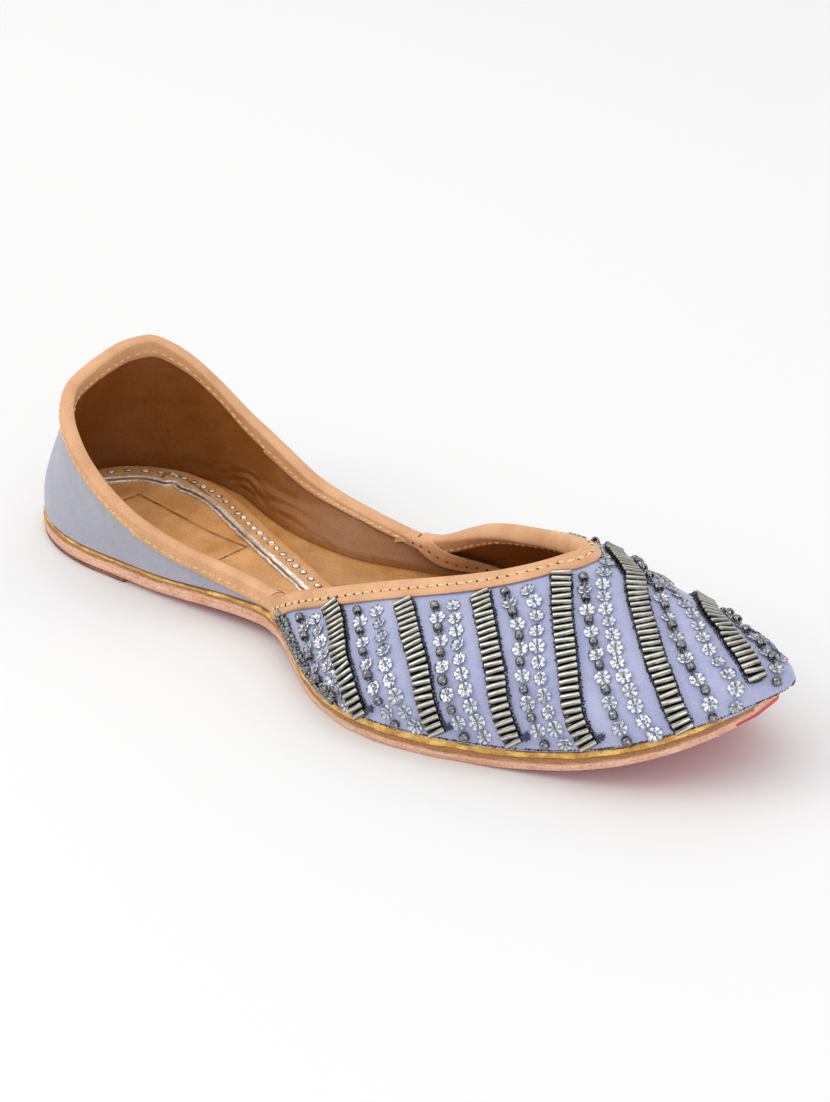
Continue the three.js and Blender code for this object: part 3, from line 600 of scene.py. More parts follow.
def tinted(tree, base, tint, mask, low=0.0, high=1.0, least=0.0, most=1.0, blend="MIX"):
    """Lays a tint over a base while a mask goes from low to high; least and most say how much of it shows."""
    share = add(tree, "ShaderNodeMapRange", {0: mask, 1: low, 2: high, 3: least, 4: most})
    return add(tree, "ShaderNodeMix", {0: share, 6: base, 7: tint}, data_type="RGBA", blend_type=blend, out=2)


def grain(tree, millimetres, detail, stretch=(1, 1, 1)):
    """Noise whose swells lie a given way apart."""
    place = add(tree, "ShaderNodeTexCoord", out="Object")
    moved = add(tree, "ShaderNodeMapping", {"Vector": place, "Scale": stretch})
    return add(tree, "ShaderNodeTexNoise", {"Vector": moved, "Scale": 1000 / millimetres, "Detail": detail})


def dress(tree, shader, base, bumps, **values):
    """Gives a shader its base colour, its plain settings and its bumps: height, strength, depth in millimetres."""
    names = {
        "rough": "Roughness", "metal": "Metallic", "sheen": "Sheen Weight", "sheen_rough": "Sheen Roughness",
        "coat": "Coat Weight", "coat_rough": "Coat Roughness", "spec": "Specular IOR Level",
    }
    tree.links.new(base, shader.inputs["Base Color"])
    for key, value in values.items():
        shader.inputs[names[key]].default_value = value
    before = {}
    for height, strength, depth in bumps:
        links = {"Height": height, "Strength": strength, "Distance": depth / 1000, **before}
        before = {"Normal": add(tree, "ShaderNodeBump", links)}
    tree.links.new(before["Normal"], shader.inputs["Normal"])


def cloth_finish(name, light, dark):
    """Woven satin-faced cotton: matt, with a soft sheen; threads drawn at 0.45 mm so that they show."""
    material, tree, shader = new_material(name)
    uv = add(tree, "ShaderNodeUVMap", uv_map="Surface")
    links = {"Vector": uv, "Scale": BAND / 0.45, "Distortion": 1.2, "Detail": 1.0}
    warp, weft = (add(tree, "ShaderNodeTexWave", links, bands_direction=way, out="Fac") for way in "XY")
    weave = add(tree, "ShaderNodeMath", {0: warp, 1: weft}, operation="ADD")
    fleck, cloud = grain(tree, 0.9, 4), grain(tree, 14, 3)
    base = tinted(tree, dark, light, cloud, 0.2, 0.8)
    base = tinted(tree, base, dark, weave, 0.2, 1.6, 0.0, 0.35, "MULTIPLY")
    base = tinted(tree, base, colour("#ffffff"), fleck, 0.45, 0.8, 0.0, 0.1)
    dress(tree, shader, base, [(weave, 0.35, 0.08), (fleck, 0.16, 0.1), (cloud, 0.1, 0.4)],
          rough=0.72, sheen=0.35, sheen_rough=0.45, spec=0.35)
    return material


def leather_finish(name, light, dark, pore, rough, coat=0.0, streak=(1, 1, 1), darker=None, blotch=0.18,
                   stamped=False):
    """Goat leather: pores and fine creases, a waxed face whose gloss varies; darker is a painted shade that deepens
    toward the heel.
    """
    material, tree, shader = new_material(name)
    place = add(tree, "ShaderNodeTexCoord", out="Object")
    pores = add(tree, "ShaderNodeTexVoronoi", {"Vector": place, "Scale": 1000 / pore}, feature="DISTANCE_TO_EDGE")
    fine, cloud = grain(tree, 0.7, 5, streak), grain(tree, 9, 4, streak)
    base = tinted(tree, dark, light, cloud, 0.5 - blotch, 0.5 + blotch)
    base = tinted(tree, base, light, fine, 0.4, 0.75, 0.0, 0.3)
    if darker:
        # Painted shade: the darker tone deepens toward the heel's inside, where the stations are low
        uv = add(tree, "ShaderNodeUVMap", uv_map="Surface")
        station = add(tree, "ShaderNodeSeparateXYZ", {0: uv})
        heel_shade_mask = add(tree, "ShaderNodeMath", {0: cloud, 1: 40.0, 2: station}, operation="MULTIPLY_ADD")
        base = tinted(tree, base, darker, heel_shade_mask, -20, 75, 0.75, 0.0)
    if stamped:
        base = tinted(tree, base, colour("#6e431c"), stamp_mask(tree))
    base = tinted(tree, base, dark, pores, 0.0, 0.12, 0.35, 0.0, "MULTIPLY")
    gloss = add(tree, "ShaderNodeMapRange", {0: cloud, 1: 0.3, 2: 0.7, 3: rough - 0.08, 4: rough + 0.1})
    tree.links.new(gloss, shader.inputs["Roughness"])
    dress(tree, shader, base, [(pores, 0.25, 0.06), (fine, 0.35, 0.12), (cloud, 0.2, 0.4)],
          coat=coat, coat_rough=0.35, spec=0.45)
    return material


def stamp_mask(tree):
    """The pressed lines of the blank frame on the sock, in its flat coordinates."""
    uv = add(tree, "ShaderNodeUVMap", uv_map="Surface")
    moved = add(tree, "ShaderNodeVectorMath", {0: uv, 1: (-STAMP_AT[0], -STAMP_AT[1], 0)})
    turn = -math.atan2(*STAMP_RUN[::-1])
    flat = add(tree, "ShaderNodeMapping", {"Vector": moved, "Rotation": (0, 0, turn)})
    size = add(tree, "ShaderNodeVectorMath", {0: flat}, operation="ABSOLUTE")
    over = add(tree, "ShaderNodeVectorMath", {0: size, 1: (*STAMP_HALF, 0)}, operation="SUBTRACT")
    sides = add(tree, "ShaderNodeSeparateXYZ", {0: over}, out=None).outputs
    edge = add(tree, "ShaderNodeMath", {0: sides[0], 1: sides[1]}, operation="MAXIMUM")
    away = add(tree, "ShaderNodeMath", {0: edge}, operation="ABSOLUTE")
    rubbed = add(tree, "ShaderNodeMapRange", {0: grain(tree, 5, 3), 1: 0.35, 2: 0.6, 3: 0.45, 4: 0.95})
    line = add(tree, "ShaderNodeMapRange", {0: away, 1: 0.25, 2: 0.6, 3: 1.0, 4: 0.0})
    return add(tree, "ShaderNodeMath", {0: line, 1: rubbed}, operation="MULTIPLY")


def edge_finish(name):
    """Cut edge of vegetable-tanned leather: pale, in thin layers, rough and brown near the top."""
    material, tree, shader = new_material(name)
    uv = add(tree, "ShaderNodeUVMap", uv_map="Surface")
    station, height = add(tree, "ShaderNodeSeparateXYZ", {0: uv}, out=None).outputs[:2]
    rough, cloud = grain(tree, 0.8, 5, (1, 1, 2.5)), grain(tree, 7, 4, (1, 1, 3))
    shifted = add(tree, "ShaderNodeMath", {0: cloud, 1: 2.2, 2: height}, operation="MULTIPLY_ADD")
    forward = add(tree, "ShaderNodeMapRange", {0: station, 1: 55, 2: 95, 3: 0.0, 4: 1.15})
    raised = add(tree, "ShaderNodeMath", {0: shifted, 1: forward})
    links = {"Vector": uv, "Scale": 0.26, "Distortion": 5.0, "Detail": 3.0, "Detail Scale": 0.08}
    layers = add(tree, "ShaderNodeTexWave", links, bands_direction="Y", out="Fac")
    base = tinted(tree, colour("#d9a184"), colour("#eec1a4"), cloud, 0.35, 0.7)
    base = tinted(tree, base, colour("#8f5b45"), layers, 0.0, 0.14, 0.28, 0.0)
    base = tinted(tree, base, colour("#a3754a"), raised, 4.3, 5.0)
    base = tinted(tree, base, colour("#8a6446"), rough, 0.48, 0.72, 0.0, 0.6, "MULTIPLY")
    dress(tree, shader, base, [(layers, 0.15, 0.1), (rough, 0.5, 0.25)], rough=0.6, spec=0.4)
    return material


def glass_finish(name):
    """Metal-lined glass tube: a painted highlight along its top, and painted shade that makes its flanks nearly black.
    """
    material, tree, shader = new_material(name)
    uv = add(tree, "ShaderNodeUVMap", uv_map="Surface")
    around = add(tree, "ShaderNodeSeparateXYZ", {0: uv})
    fine = grain(tree, 1.2, 2)
    turned_by = add(tree, "ShaderNodeMath", {0: fine, 1: 0.09, 2: -0.295}, operation="MULTIPLY_ADD")
    from_highlight = add(tree, "ShaderNodeMath", {0: around, 1: turned_by})
    away = add(tree, "ShaderNodeMath", {0: from_highlight}, operation="ABSOLUTE")
    # Painted shade on the flanks and a painted highlight along the top, set by the angle round the tube
    base = tinted(tree, colour("#98958b"), colour("#1d1d21"), away, 0.07, 0.17)
    base = tinted(tree, base, colour("#d9d6cd"), away, 0.012, 0.045, 1.0, 0.0)
    dress(tree, shader, base, [(fine, 0.1, 0.05)], metal=0.9, rough=0.26)
    return material


def mottled_finish(name, light, dark, grains, bumps, wear=None, painted_facets=0.0, **values):
    """Two tones that follow a grain, and wear that follows a second.

    A grain is its size in millimetres, its detail and the range over which its tone turns; a bump is the
    number of its grain, its strength and its depth; wear is its colour and how much of it shows.
    """
    material, tree, shader = new_material(name)
    noises = [grain(tree, size, detail) for size, detail, *_ in grains]
    base = tinted(tree, dark, light, noises[0], *grains[0][2:])
    if wear:
        base = tinted(tree, base, colour(wear[0]), noises[1], *grains[1][2:], 0.0, wear[1])
    if painted_facets:
        # Painted dark reflections of the cut facets, in bands round the item's middle
        uv = add(tree, "ShaderNodeUVMap", uv_map="Surface")
        bands = add(tree, "ShaderNodeTexWave", {"Vector": uv, "Scale": BAND * 7, "Distortion": 3.5}, out="Fac")
        base = tinted(tree, base, colour("#17181c"), bands, 0.3, 0.5, painted_facets, 0.0)
    dress(tree, shader, base, [(noises[which], *rest) for which, *rest in bumps], **values)
    return material


def metal_finish(name, light, dark, painted_facets=0.0, metal=1.0):
    """Glass bead or foil sequin lined with bright metal."""
    return mottled_finish(name, colour(light), colour(dark), [(0.6, 3, 0.35, 0.7)], [(0, 0.15, 0.05)],
                          painted_facets=painted_facets, metal=metal, rough=0.16)


FINISHES = {}


def finish_of(name):
    """Each finish is made once and shared by the pieces of that stuff."""
    quarter, vamp, binding, rand = map(chosen, ("quarter", "vamp", "binding", "rand"))
    lining, insole, sock = map(chosen, ("lining", "insole", "sock"))
    makers = {
        "quarter_satin": lambda: cloth_finish(name, quarter, shade(quarter, 0.81, 0.8, 0.81)),
        "vamp_satin": lambda: cloth_finish(name, vamp, shade(vamp, 0.74, 0.76, 0.88)),
        # The lining's darker tone is painted shade toward the heel
        "lining_leather": lambda: leather_finish(
            name, lining, shade(lining, 0.74, 0.62, 0.4), 0.9, 0.5, 0.1, (1, 1, 2.2),
            darker=shade(lining, 0.62, 0.43, 0.17), blotch=0.3),
        "insole_leather": lambda: leather_finish(name, insole, shade(insole, 0.76, 0.65, 0.5), 1.0, 0.42, 0.15),
        "sock_leather": lambda: leather_finish(
            name, sock, shade(sock, 0.77, 0.65, 0.48), 1.0, 0.42, 0.15, stamped=True),
        "binding_leather": lambda: leather_finish(name, binding, shade(binding, 0.81, 0.74, 0.67), 0.6, 0.5, 0.1),
        "lift_leather": lambda: leather_finish(name, colour("#935f50"), colour("#6a4136"), 0.8, 0.6),
        "cut_leather_edge": lambda: edge_finish(name),
        # Red spirit paint on the leather underside, thin enough to show its grain
        "red_painted_leather": lambda: mottled_finish(
            name, colour("#d8414c"), colour("#b8202e"), [(12, 4, 0.35, 0.65), (0.8, 4)], [(1, 0.3, 0.15)],
            rough=0.45, coat=0.2, coat_rough=0.3),
        # Cloth and paste, rubbed brown and uneven
        "mustard_rand": lambda: mottled_finish(
            name, rand, shade(rand, 0.6, 0.46, 0.32), [(4, 4, 0.38, 0.62), (0.7, 5, 0.5, 0.74)],
            [(1, 0.7, 0.3), (0, 0.4, 0.5)], ("#6f4a25", 0.6), rough=0.7, sheen=0.1),
        "pewter_glass": lambda: glass_finish(name),
        "pewter_bead": lambda: metal_finish(name, "#a8a6a2", "#55545a"),
        "silver_sequin": lambda: metal_finish(name, "#eef0f6", "#b4b8c6", 0.6, 0.8),
        # Foil folded over a cord: rubbed, and greener where the lacquer has gone
        "silver_foil": lambda: mottled_finish(
            name, colour("#fffdf6"), colour("#c4c1b4"), [(0.7, 3, 0.35, 0.6), (6, 3, 0.5, 0.7)], [(0, 0.5, 0.12)],
            ("#8b8a6c", 0.45), metal=0.35, rough=0.25, coat=0.5, coat_rough=0.12),
    }
    if name not in FINISHES and name in THREADS:
        # Twisted cotton, soft and matt
        light, dark = map(colour, THREADS[name])
        FINISHES[name] = mottled_finish(name, light, dark, [(0.35, 3, 0.35, 0.65)], [(0, 0.5, 0.08)],
                                        rough=0.65, sheen=0.3, spec=0.4)
    elif name not in FINISHES:
        FINISHES[name] = makers[name]()
    return FINISHES[name]


# Shells of the upper, the bindings, the sole and the insole


def arc_uv(along, points):
    """Surface coordinates in millimetres: along the shoe, and up the wall."""
    steps = np.linalg.norm(np.diff(points, axis=1), axis=-1)
    height = np.concatenate([np.zeros((len(points), 1)), np.cumsum(steps, 1)], 1)
    return np.stack([np.broadcast_to(along[:, None], height.shape), height], -1)


def hem(along):
    """How far the cloth comes down to the rand, which is thin round the heel."""
    return 0.75 * (1 - smoothstep(along, 30, 80))


def flat(lift):
    """A lift that is the same at every station."""
    return lambda along: np.full_like(along, lift)


def wall_shell(name, finish, start, end, lifts, skirt, relief_of, rows=30):
    """One shell of the upper, between two stations of each side; lifts and skirt are read at the stations."""
    shell = Patches()
    for side in SIDES:
        along = stations(start[side], end[side], 1.3)
        grid_along, grid_rise = np.meshgrid(along, np.linspace(0, 1, rows + 1), indexing="ij")
        skins = []
        for lift, extra in zip(lifts, relief_of(side, grid_along, grid_rise)):
            face = lifted(side, grid_along, grid_rise, lift(grid_along) + extra)
            face[:, 0, 2] -= skirt(along)
            skins.append(face)
        shell.wall(*skins, arc_uv(along, skins[0]), start[side] <= -HEEL_ARC, end[side] >= NOSE_ALONG,
                   int(np.count_nonzero(along <= THROAT)))
    shell.make(name, [finish], "upper", "upper")


def freedom(along, rise, slope, foot_share=0.0):
    """How freely a wall may swell: not at all on its edges, at the heel's seam and at the nose."""
    calm = np.minimum(1, np.minimum(rise + foot_share, 1 - rise) * slope)
    return calm * smoothstep(along, -HEEL_ARC, 8 - HEEL_ARC) * (1 - smoothstep(along, 195, 212))


def cloth_relief(side, along, rise):
    """Slight swells of the cloth over its stiffening."""
    swell = 0.16 * wander(along, 3, 17) * wander(rise * 40, 5, 11) + 0.1 * wander(along + 30 * rise, 7, 6)
    return swell * freedom(along, rise, 8), np.zeros_like(swell)


def lining_relief(side, along, rise):
    """Folds of the lining, as soft troughs and ridges, and a little slack."""
    point = skin(side, along, rise)
    depth = np.zeros_like(along)
    for _, start, end, width, height in (fold for fold in FOLDS if fold[0] == side):
        a, b = skin(side, *map(np.asarray, start)), skin(side, *map(np.asarray, end))
        line = b - a
        t = np.clip(((point - a) @ line) / (line @ line), 0, 1)
        wave = 0.9 * wander(t * 60, int(width * 100), 14)
        away = np.linalg.norm(point - a - line * t[..., None], axis=-1) + wave
        depth += height * np.exp(-((away / width) ** 2)) * np.sin(np.pi * np.clip(t, 0.02, 0.98)) ** 0.6
    slack = 0.22 * wander(along + 20 * rise, 11, 9) + 0.12 * wander(along * 0.6 - 30 * rise, 13, 4)
    # Small ripples where the far lining is drawn in above the border
    ripple = 0.62 * np.sin(2 * np.pi * (point[..., 2] + 2.2 * wander(along, 17, 13)) / 2.6)
    ripple *= smoothstep(along, -6, 16) * (1 - smoothstep(along, 50, 74)) * (side == FAR)
    ripple *= smoothstep(rise, 0.0, 0.05) * (1 - smoothstep(rise, 0.18, 0.42))
    shift = np.clip(depth + slack + ripple * (0.6 + 0.4 * wander(along, 19, 7)), -0.95, 0.75)
    return np.zeros_like(shift), -shift * freedom(along, rise, 9, 0.02)


def binding_strip(node, sides, face, step, inner_width):
    """Leather strip folded over a topline: outer face, rounded turn and inner face."""
    halves = []
    for side, along in sides:
        widths = np.linspace(1, 0, 9)
        outer_at, outer_rise = below(side, along[:, None], widths * face)
        top = rim(side, along)
        headroom = top[:, 2] - floor_top(top[:, 0]) - SOCK - BORDER - 3 * GAP
        inner_face = np.minimum(inner_width, headroom)
        inner_at, inner_rise = below(side, along[:, None], widths[::-1] * inner_face[:, None])
        wall = wall_at(along)
        near_edge = skin(side, *below(side, along, face / 2))
        up = unit(top - near_edge)[:, None]
        out = normal(side, along, np.ones_like(along))[:, None]
        middle = top[:, None] + out * ((step - wall) / 2)[:, None, None]
        turn = np.linspace(0, np.pi, 11)[None, 1:-1, None]

        def skin_of(lift):
            reach = ((step + wall) / 2 + GAP + lift)[:, None, None]
            fold = middle + out * np.cos(turn) * reach + up * np.sin(turn) * (GAP + lift)
            outer = lifted(side, outer_at, outer_rise, np.full_like(outer_at, step + GAP + lift))
            inner = lifted(side, inner_at, inner_rise, -(wall[:, None] + GAP + lift) * np.ones_like(inner_at))
            return np.concatenate([outer, fold, inner], 1)

        cover, under = skin_of(BINDING), skin_of(HAIR)
        for edge in (0, -1):
            cover[:, edge] = between(under[:, edge], cover[:, edge], SKIVED)
        halves.append(np.concatenate([cover, under[:, ::-1]], 1))
    near, far = halves
    sections = np.concatenate([near[::-1], far[1:]], 0)
    strip = Patches()
    strip.loop(sections, arc_uv(run_of(sections[:, sections.shape[1] // 4]), closed(sections)))
    strip.make(f"{node}_strip", ["binding_leather"], node, node)


def tail_faces(side):
    """Bound edge of the quarter that runs on inside the vamp and sinks to the insole.

    Gives its stations, its front and back and the outward directions of its front.
    """
    table = TAILS[side]
    along = np.linspace(table[0][0], table[-1][0], 40)
    out_of = smoothstep(along, table[0][0], NOTCH[side])
    ground = floor_top(HEEL_ROUND + along) + GAP
    top = np.maximum(column(table, 1)(along), ground + 1)
    bottom = np.maximum(column(table, 2)(along), ground + 0.2)
    heights = between(bottom[:, None], top[:, None], np.linspace(0, 1, 11))
    rises = np.linspace(0, 1, 240)
    wall = skin(side, along[:, None], rises[None])[..., 2]
    rise = np.array([np.interp(z, h, rises) for z, h in zip(heights, wall)])
    sunk = (WALL + GAP + BINDING - 0.7 + 0.9 * out_of)[:, None]
    thick = (0.3 + (TAIL + 0.4 * (top > 16) - 0.3) * out_of)[:, None]
    # The strip is rounded at both its edges
    thick = thick * np.array([0.6, 0.85, 0.95, 1, 1, 1, 1, 1, 1, 0.85, 0.5])
    grid = np.broadcast_to(along[:, None], rise.shape)
    front = lifted(side, grid, rise, -sunk - thick)
    behind = lifted(side, grid, rise, -sunk + 0 * rise)
    for face in (front, behind):
        face[..., 2] += np.maximum(heights - wall[:, -1:], 0)
    return along, front, behind, -normal(side, grid, rise)


def sole_stations(end, spacing=2.0):
    """Stations from the middle of the heel to an end, an even way apart past the heel."""
    heel = np.linspace(-HEEL_ARC, 0, 32)[:-1]
    return np.concatenate([heel, np.linspace(0, end, int(end / spacing) + 1)])


def sole_layer(node, finishes, end, low, high, setback, profile, waver, seed, across=9):
    """Flat-lying layer of the sole with a trimmed, slightly uneven edge.

    The profile gives, from the lower face to the upper, the edge's setback and its share of the height. Of three
    finishes the first is the edge's, the second the underside's and the third the top's.
    """
    edge, under, over = (0, 1, 2) if len(finishes) == 3 else (0, 0, 0)
    along = sole_stations(end)
    rings = []
    for side in SIDES:
        points = []
        for inward, level in profile:
            wobble = waver * wander(along + 7 * level, seed + side, 5) * min(1, 4 * level * (1 - level) + 0.3)
            x, y = outline(side, along, setback + inward)
            y = y * (1 + wobble / np.maximum(np.abs(y), 8))
            points.append(np.stack([x, y, between(low(x), high(x), level)], -1))
        rings.append(np.stack(points, 1))
    near, far = rings
    body = Patches()
    height = SOLE * np.array([level for _, level in profile])
    uv = np.stack(np.meshgrid(along, height, indexing="ij"), -1)
    # The paint of the underside runs up the lowest part of the blunt toe
    painted = len(profile) // 3
    for ring in rings:
        body.grid(ring[:-1], uv[:-1], edge)
        body.grid(ring[-2:, : painted + 1], uv[-2:, : painted + 1], under)
        body.grid(ring[-2:, painted:], uv[-2:, painted:], edge)
    share = np.linspace(0, 1, across)[None, :, None]
    for index, slot in ((0, under), (-1, over)):
        body.grid(between(near[:, index, None], far[:, index, None], share), slot=slot)
    front = between(near[-1], far[-1], share[0, :, None])
    uv = np.stack(np.meshgrid(np.linspace(0, 12, across), height, indexing="ij"), -1)
    body.grid(front[:, : painted + 1], uv[:, : painted + 1], under)
    body.grid(front[:, painted:], uv[:, painted:], edge)
    body.make(node.removesuffix("_pad") + "_leather", finishes, node, node, weld=2 * WELD)


def swept_strip(name, finish, inner, outer, low, high, run, slot, *nodes, meets=False):
    """Strip between two plan lines and two heights, its long edges rounded; its ends meet or are closed."""
    across = np.array([0, 0, 0.12, 0.5, 0.88, 1, 1, 0.9, 0.5, 0.1])
    level = np.array([0.3, 0.75, 1, 1, 1, 0.75, 0.3, 0, 0, 0])
    plan = between(inner[:, None], outer[:, None], across[:, None])
    sections = closed(np.concatenate([plan, between(low[:, None], high[:, None], level)[..., None]], -1))
    run = np.broadcast_to(run[:, None], (len(run), len(across) + 1))
    around = np.broadcast_to(np.append(across, 0)[None] * 8, run.shape)
    strip = Patches()
    strip.grid(sections, np.stack([run, around], -1))
    if meets:
        strip.grid(sections[[-1, 0]])
    else:
        for ring in sections[[0, -1]]:
            strip.grid(np.stack([ring, np.broadcast_to(ring[:-1].mean(0), ring.shape)], 1))
    strip.make(name, [finish], slot, *nodes)


# Repeats along lines: stitches, beads, sequins


def template(name, points, faces, uvs, place):
    """An item to be repeated, from points in millimetres, set as its place says."""
    mesh = bpy.data.meshes.new(name)
    mesh.from_pydata((np.array(points) / 1000).tolist(), [], faces)
    mesh.uv_layers.new(name="Surface").data.foreach_set("uv", np.ravel(uvs))
    cleaned(mesh)
    mesh.transform(place)
    return bpy.data.objects.new(name, mesh)


def turned(name, profile, sides, place=AS_MADE):
    """A closed turned shape round X from a profile of (x, radius)."""
    count = len(profile)
    points, faces, uvs = [], [], []
    for i in range(sides):
        angle = 2 * np.pi * i / sides
        points += [(x, r * math.cos(angle), r * math.sin(angle)) for x, r in profile]
        for j in range(count):
            corners = ((i, j), (i, (j + 1) % count), (i + 1, (j + 1) % count), (i + 1, j))
            faces.append([p % sides * count + q for p, q in corners])
            uvs += [(p / sides, profile[q][1]) for p, q in corners]
    return template(name, points, faces, uvs, place)


def capsule(name, length, width, height, bow=0.0, place=AS_MADE):
    """A short length of thread along X, its ends dipping into what it holds."""
    sides, rows = 6, 7
    points, faces = [], []
    for t in np.linspace(-1, 1, rows):
        thick = math.sqrt(max(0.06, 1 - abs(t) ** 3)) / 2
        for angle in np.linspace(0, 2 * np.pi, sides, endpoint=False):
            points.append((t * length / 2, math.cos(angle) * width * thick,
                           math.sin(angle) * height * thick - bow * t * t))
    for i in range(0, (rows - 1) * sides, sides):
        for j in range(sides):
            k = (j + 1) % sides
            faces.append((i + j, i + k, i + sides + k, i + sides + j))
    faces += [tuple(range(sides)), tuple(range((rows - 1) * sides, rows * sides))]
    uvs = [(v // sides / rows, v % sides / sides) for face in faces for v in face]
    return template(name, points, faces, uvs, place)


def repeat_tree():
    """Items set along lines: X follows the line and Z stands off the surface."""
    tree = bpy.data.node_groups.new("items_along_lines", "GeometryNodeTree")
    sockets = {}
    for name, kind, start in (
        ("Lines", "Geometry", None), ("Item", "Object", None), ("Spacing", "Float", 0.002),
        ("Tilt", "Vector", (0, 0, 0)), ("Smallest", "Float", 1.0), ("Largest", "Float", 1.0), ("Seed", "Int", 0),
        ("Finish", "Material", None),
    ):
        socket = tree.interface.new_socket(name=name, in_out="INPUT", socket_type=f"NodeSocket{kind}")
        if start is not None:
            socket.default_value = start
        sockets[name] = socket.identifier
    tree.interface.new_socket(name="Pieces", in_out="OUTPUT", socket_type="NodeSocketGeometry")
    given = add(tree, "NodeGroupInput", out=None).outputs
    curve = add(tree, "GeometryNodeMeshToCurve", {"Mesh": given["Lines"]})
    links = {"Curve": curve, "Length": given["Spacing"]}
    even = add(tree, "GeometryNodeResampleCurve", links, mode="LENGTH")
    out = add(tree, "GeometryNodeInputNamedAttribute", {"Name": "out"}, data_type="FLOAT_VECTOR")
    tangent = add(tree, "GeometryNodeInputTangent")
    turn = add(tree, "FunctionNodeAxesToRotation", {"Primary Axis": out, "Secondary Axis": tangent},
               primary_axis="Z", secondary_axis="X")
    back = add(tree, "ShaderNodeVectorMath", {0: given["Tilt"], "Scale": -1.0}, operation="SCALE")
    lean_by = add(tree, "FunctionNodeRandomValue", {0: back, 1: given["Tilt"], "Seed": given["Seed"]},
                  data_type="FLOAT_VECTOR")
    lean_turn = add(tree, "FunctionNodeEulerToRotation", {0: lean_by})
    turned_by = add(tree, "FunctionNodeRotateRotation", {0: turn, 1: lean_turn}, rotation_space="LOCAL")
    links = {2: given["Smallest"], 3: given["Largest"], "Seed": given["Seed"]}
    size = add(tree, "FunctionNodeRandomValue", links, data_type="FLOAT", out=1)
    item = add(tree, "GeometryNodeObjectInfo", {"Object": given["Item"]}, out="Geometry")
    links = {"Points": even, "Instance": item, "Rotation": turned_by, "Scale": size}
    placed = add(tree, "GeometryNodeInstanceOnPoints", links)
    real = add(tree, "GeometryNodeRealizeInstances", {0: placed})
    finished = add(tree, "GeometryNodeSetMaterial", {"Geometry": real, "Material": given["Finish"]})
    add(tree, "NodeGroupOutput", {0: finished}, out=None)
    return tree, sockets


REPEATS = {}


def repeat(name, slot, item, lines, spacing, finish, tilt, sizes, seed):
    """Sets copies of an item along lines, each a pair of points and outward directions."""
    if not REPEATS:
        REPEATS["tree"], REPEATS["sockets"] = repeat_tree()
    mesh = bpy.data.meshes.new(name)
    points, outs, edges = [], [], []
    for line, out in lines:
        start = len(points)
        points.extend(to_world(line).tolist())
        outs.extend(np.asarray(out).tolist())
        edges.extend((start + i, start + i + 1) for i in range(len(line) - 1))
    mesh.from_pydata(points, edges, [])
    mesh.attributes.new("out", "FLOAT_VECTOR", "POINT").data.foreach_set("vector", np.ravel(outs))
    piece = bpy.data.objects.new(name, mesh)
    held = bpy.context.scene.collection.objects
    held.link(piece)
    if item.name not in held:
        held.link(item)
    modifier = piece.modifiers.new("Repeat", "NODES")
    modifier.node_group = REPEATS["tree"]
    values = {
        "Item": item, "Spacing": spacing / 1000, "Tilt": tuple(math.radians(t) for t in tilt),
        "Smallest": sizes[0], "Largest": sizes[1], "Seed": seed, "Finish": finish_of(finish),
    }
    for socket, value in values.items():
        modifier[REPEATS["sockets"][socket]] = value
    graph = bpy.context.evaluated_depsgraph_get()
    made = bpy.data.meshes.new_from_object(piece.evaluated_get(graph), preserve_all_data_layers=True, depsgraph=graph)
    if not made.polygons:
        raise RuntimeError(f"nothing was repeated for {name}")
    piece.modifiers.clear()
    piece.data = made
    settle(piece, slot)


def surface_line(table, lift, count=90):
    """Smooth line on the wall through (along, climb) places, with its outward directions."""
    rows = [(i, *place) for i, place in enumerate(table)]
    u = np.linspace(0, rows[-1][0], count)
    along, climb = column(rows, 1)(u), column(rows, 2)(u)
    line, out = np.zeros((count, 3)), np.zeros((count, 3))
    for side, here, rise in ((NEAR, climb <= 1, climb), (FAR, climb > 1, 2 - climb)):
        line[here] = lifted(side, along[here], rise[here], np.full(here.sum(), lift))
        out[here] = normal(side, along[here], rise[here])
    return line, out


def climb_of(side, rise):
    """Climb of a place on one side's wall."""
    return rise if side == NEAR else 2 - rise


def across_of(line, out):
    """Directions square to a line, along the surface."""
    return unit(np.cross(out, unit(np.gradient(line, axis=0))))


def far_wing(top):
    """Line on the far wing, which runs back toward the heel as it goes down."""
    foot_at = max(top - 22, 82 + 0.35 * (top - 90))
    return tuple((between(top, foot_at, t), 1.26 + 0.68 * t) for t in (0, 0.33, 0.66, 1))


def trimmed_line(line, out, cut):
    """The same line with a length cut off both its ends."""
    run = run_of(line)
    even = np.linspace(cut, run[-1] - cut, len(line))
    line, out = (np.stack([np.interp(even, run, values[:, i]) for i in range(3)], -1) for values in (line, out))
    return line, unit(out)


def drop(*items):
    """Templates have done their work."""
    for item in items:
        bpy.data.objects.remove(item, do_unlink=True)


# Sizes and colours that a user would change


def measure(name, description, default, least=0.001):
    """A length in metres that the user sets."""
    return FloatProperty(name=name, description=description, default=default, min=least, unit="LENGTH")


def swatch(name, description, code):
    """A colour that the user sets."""
    return FloatVectorProperty(name=name, description=description, subtype="COLOR", size=3, min=0, max=1,
                               default=colour(code)[:3])


class ShoeSizes(bpy.types.PropertyGroup):
    bead: measure("Round bead", "Diameter of a round bead", 0.0027)
    sequin: measure("Sequin", "Diameter of a cup sequin", 0.0042)
    bugle: measure("Bugle length", "Length of a bugle bead", 0.0052)
    bugle_width: measure("Bugle width", "Diameter of a bugle bead", 0.0019, 0.0005)
    stitch: measure("Stitch", "Distance from stitch to stitch on a binding", 0.0027)
    seed: IntProperty(name="Seed", description="Changes the small unevenness of the beadwork", default=4)


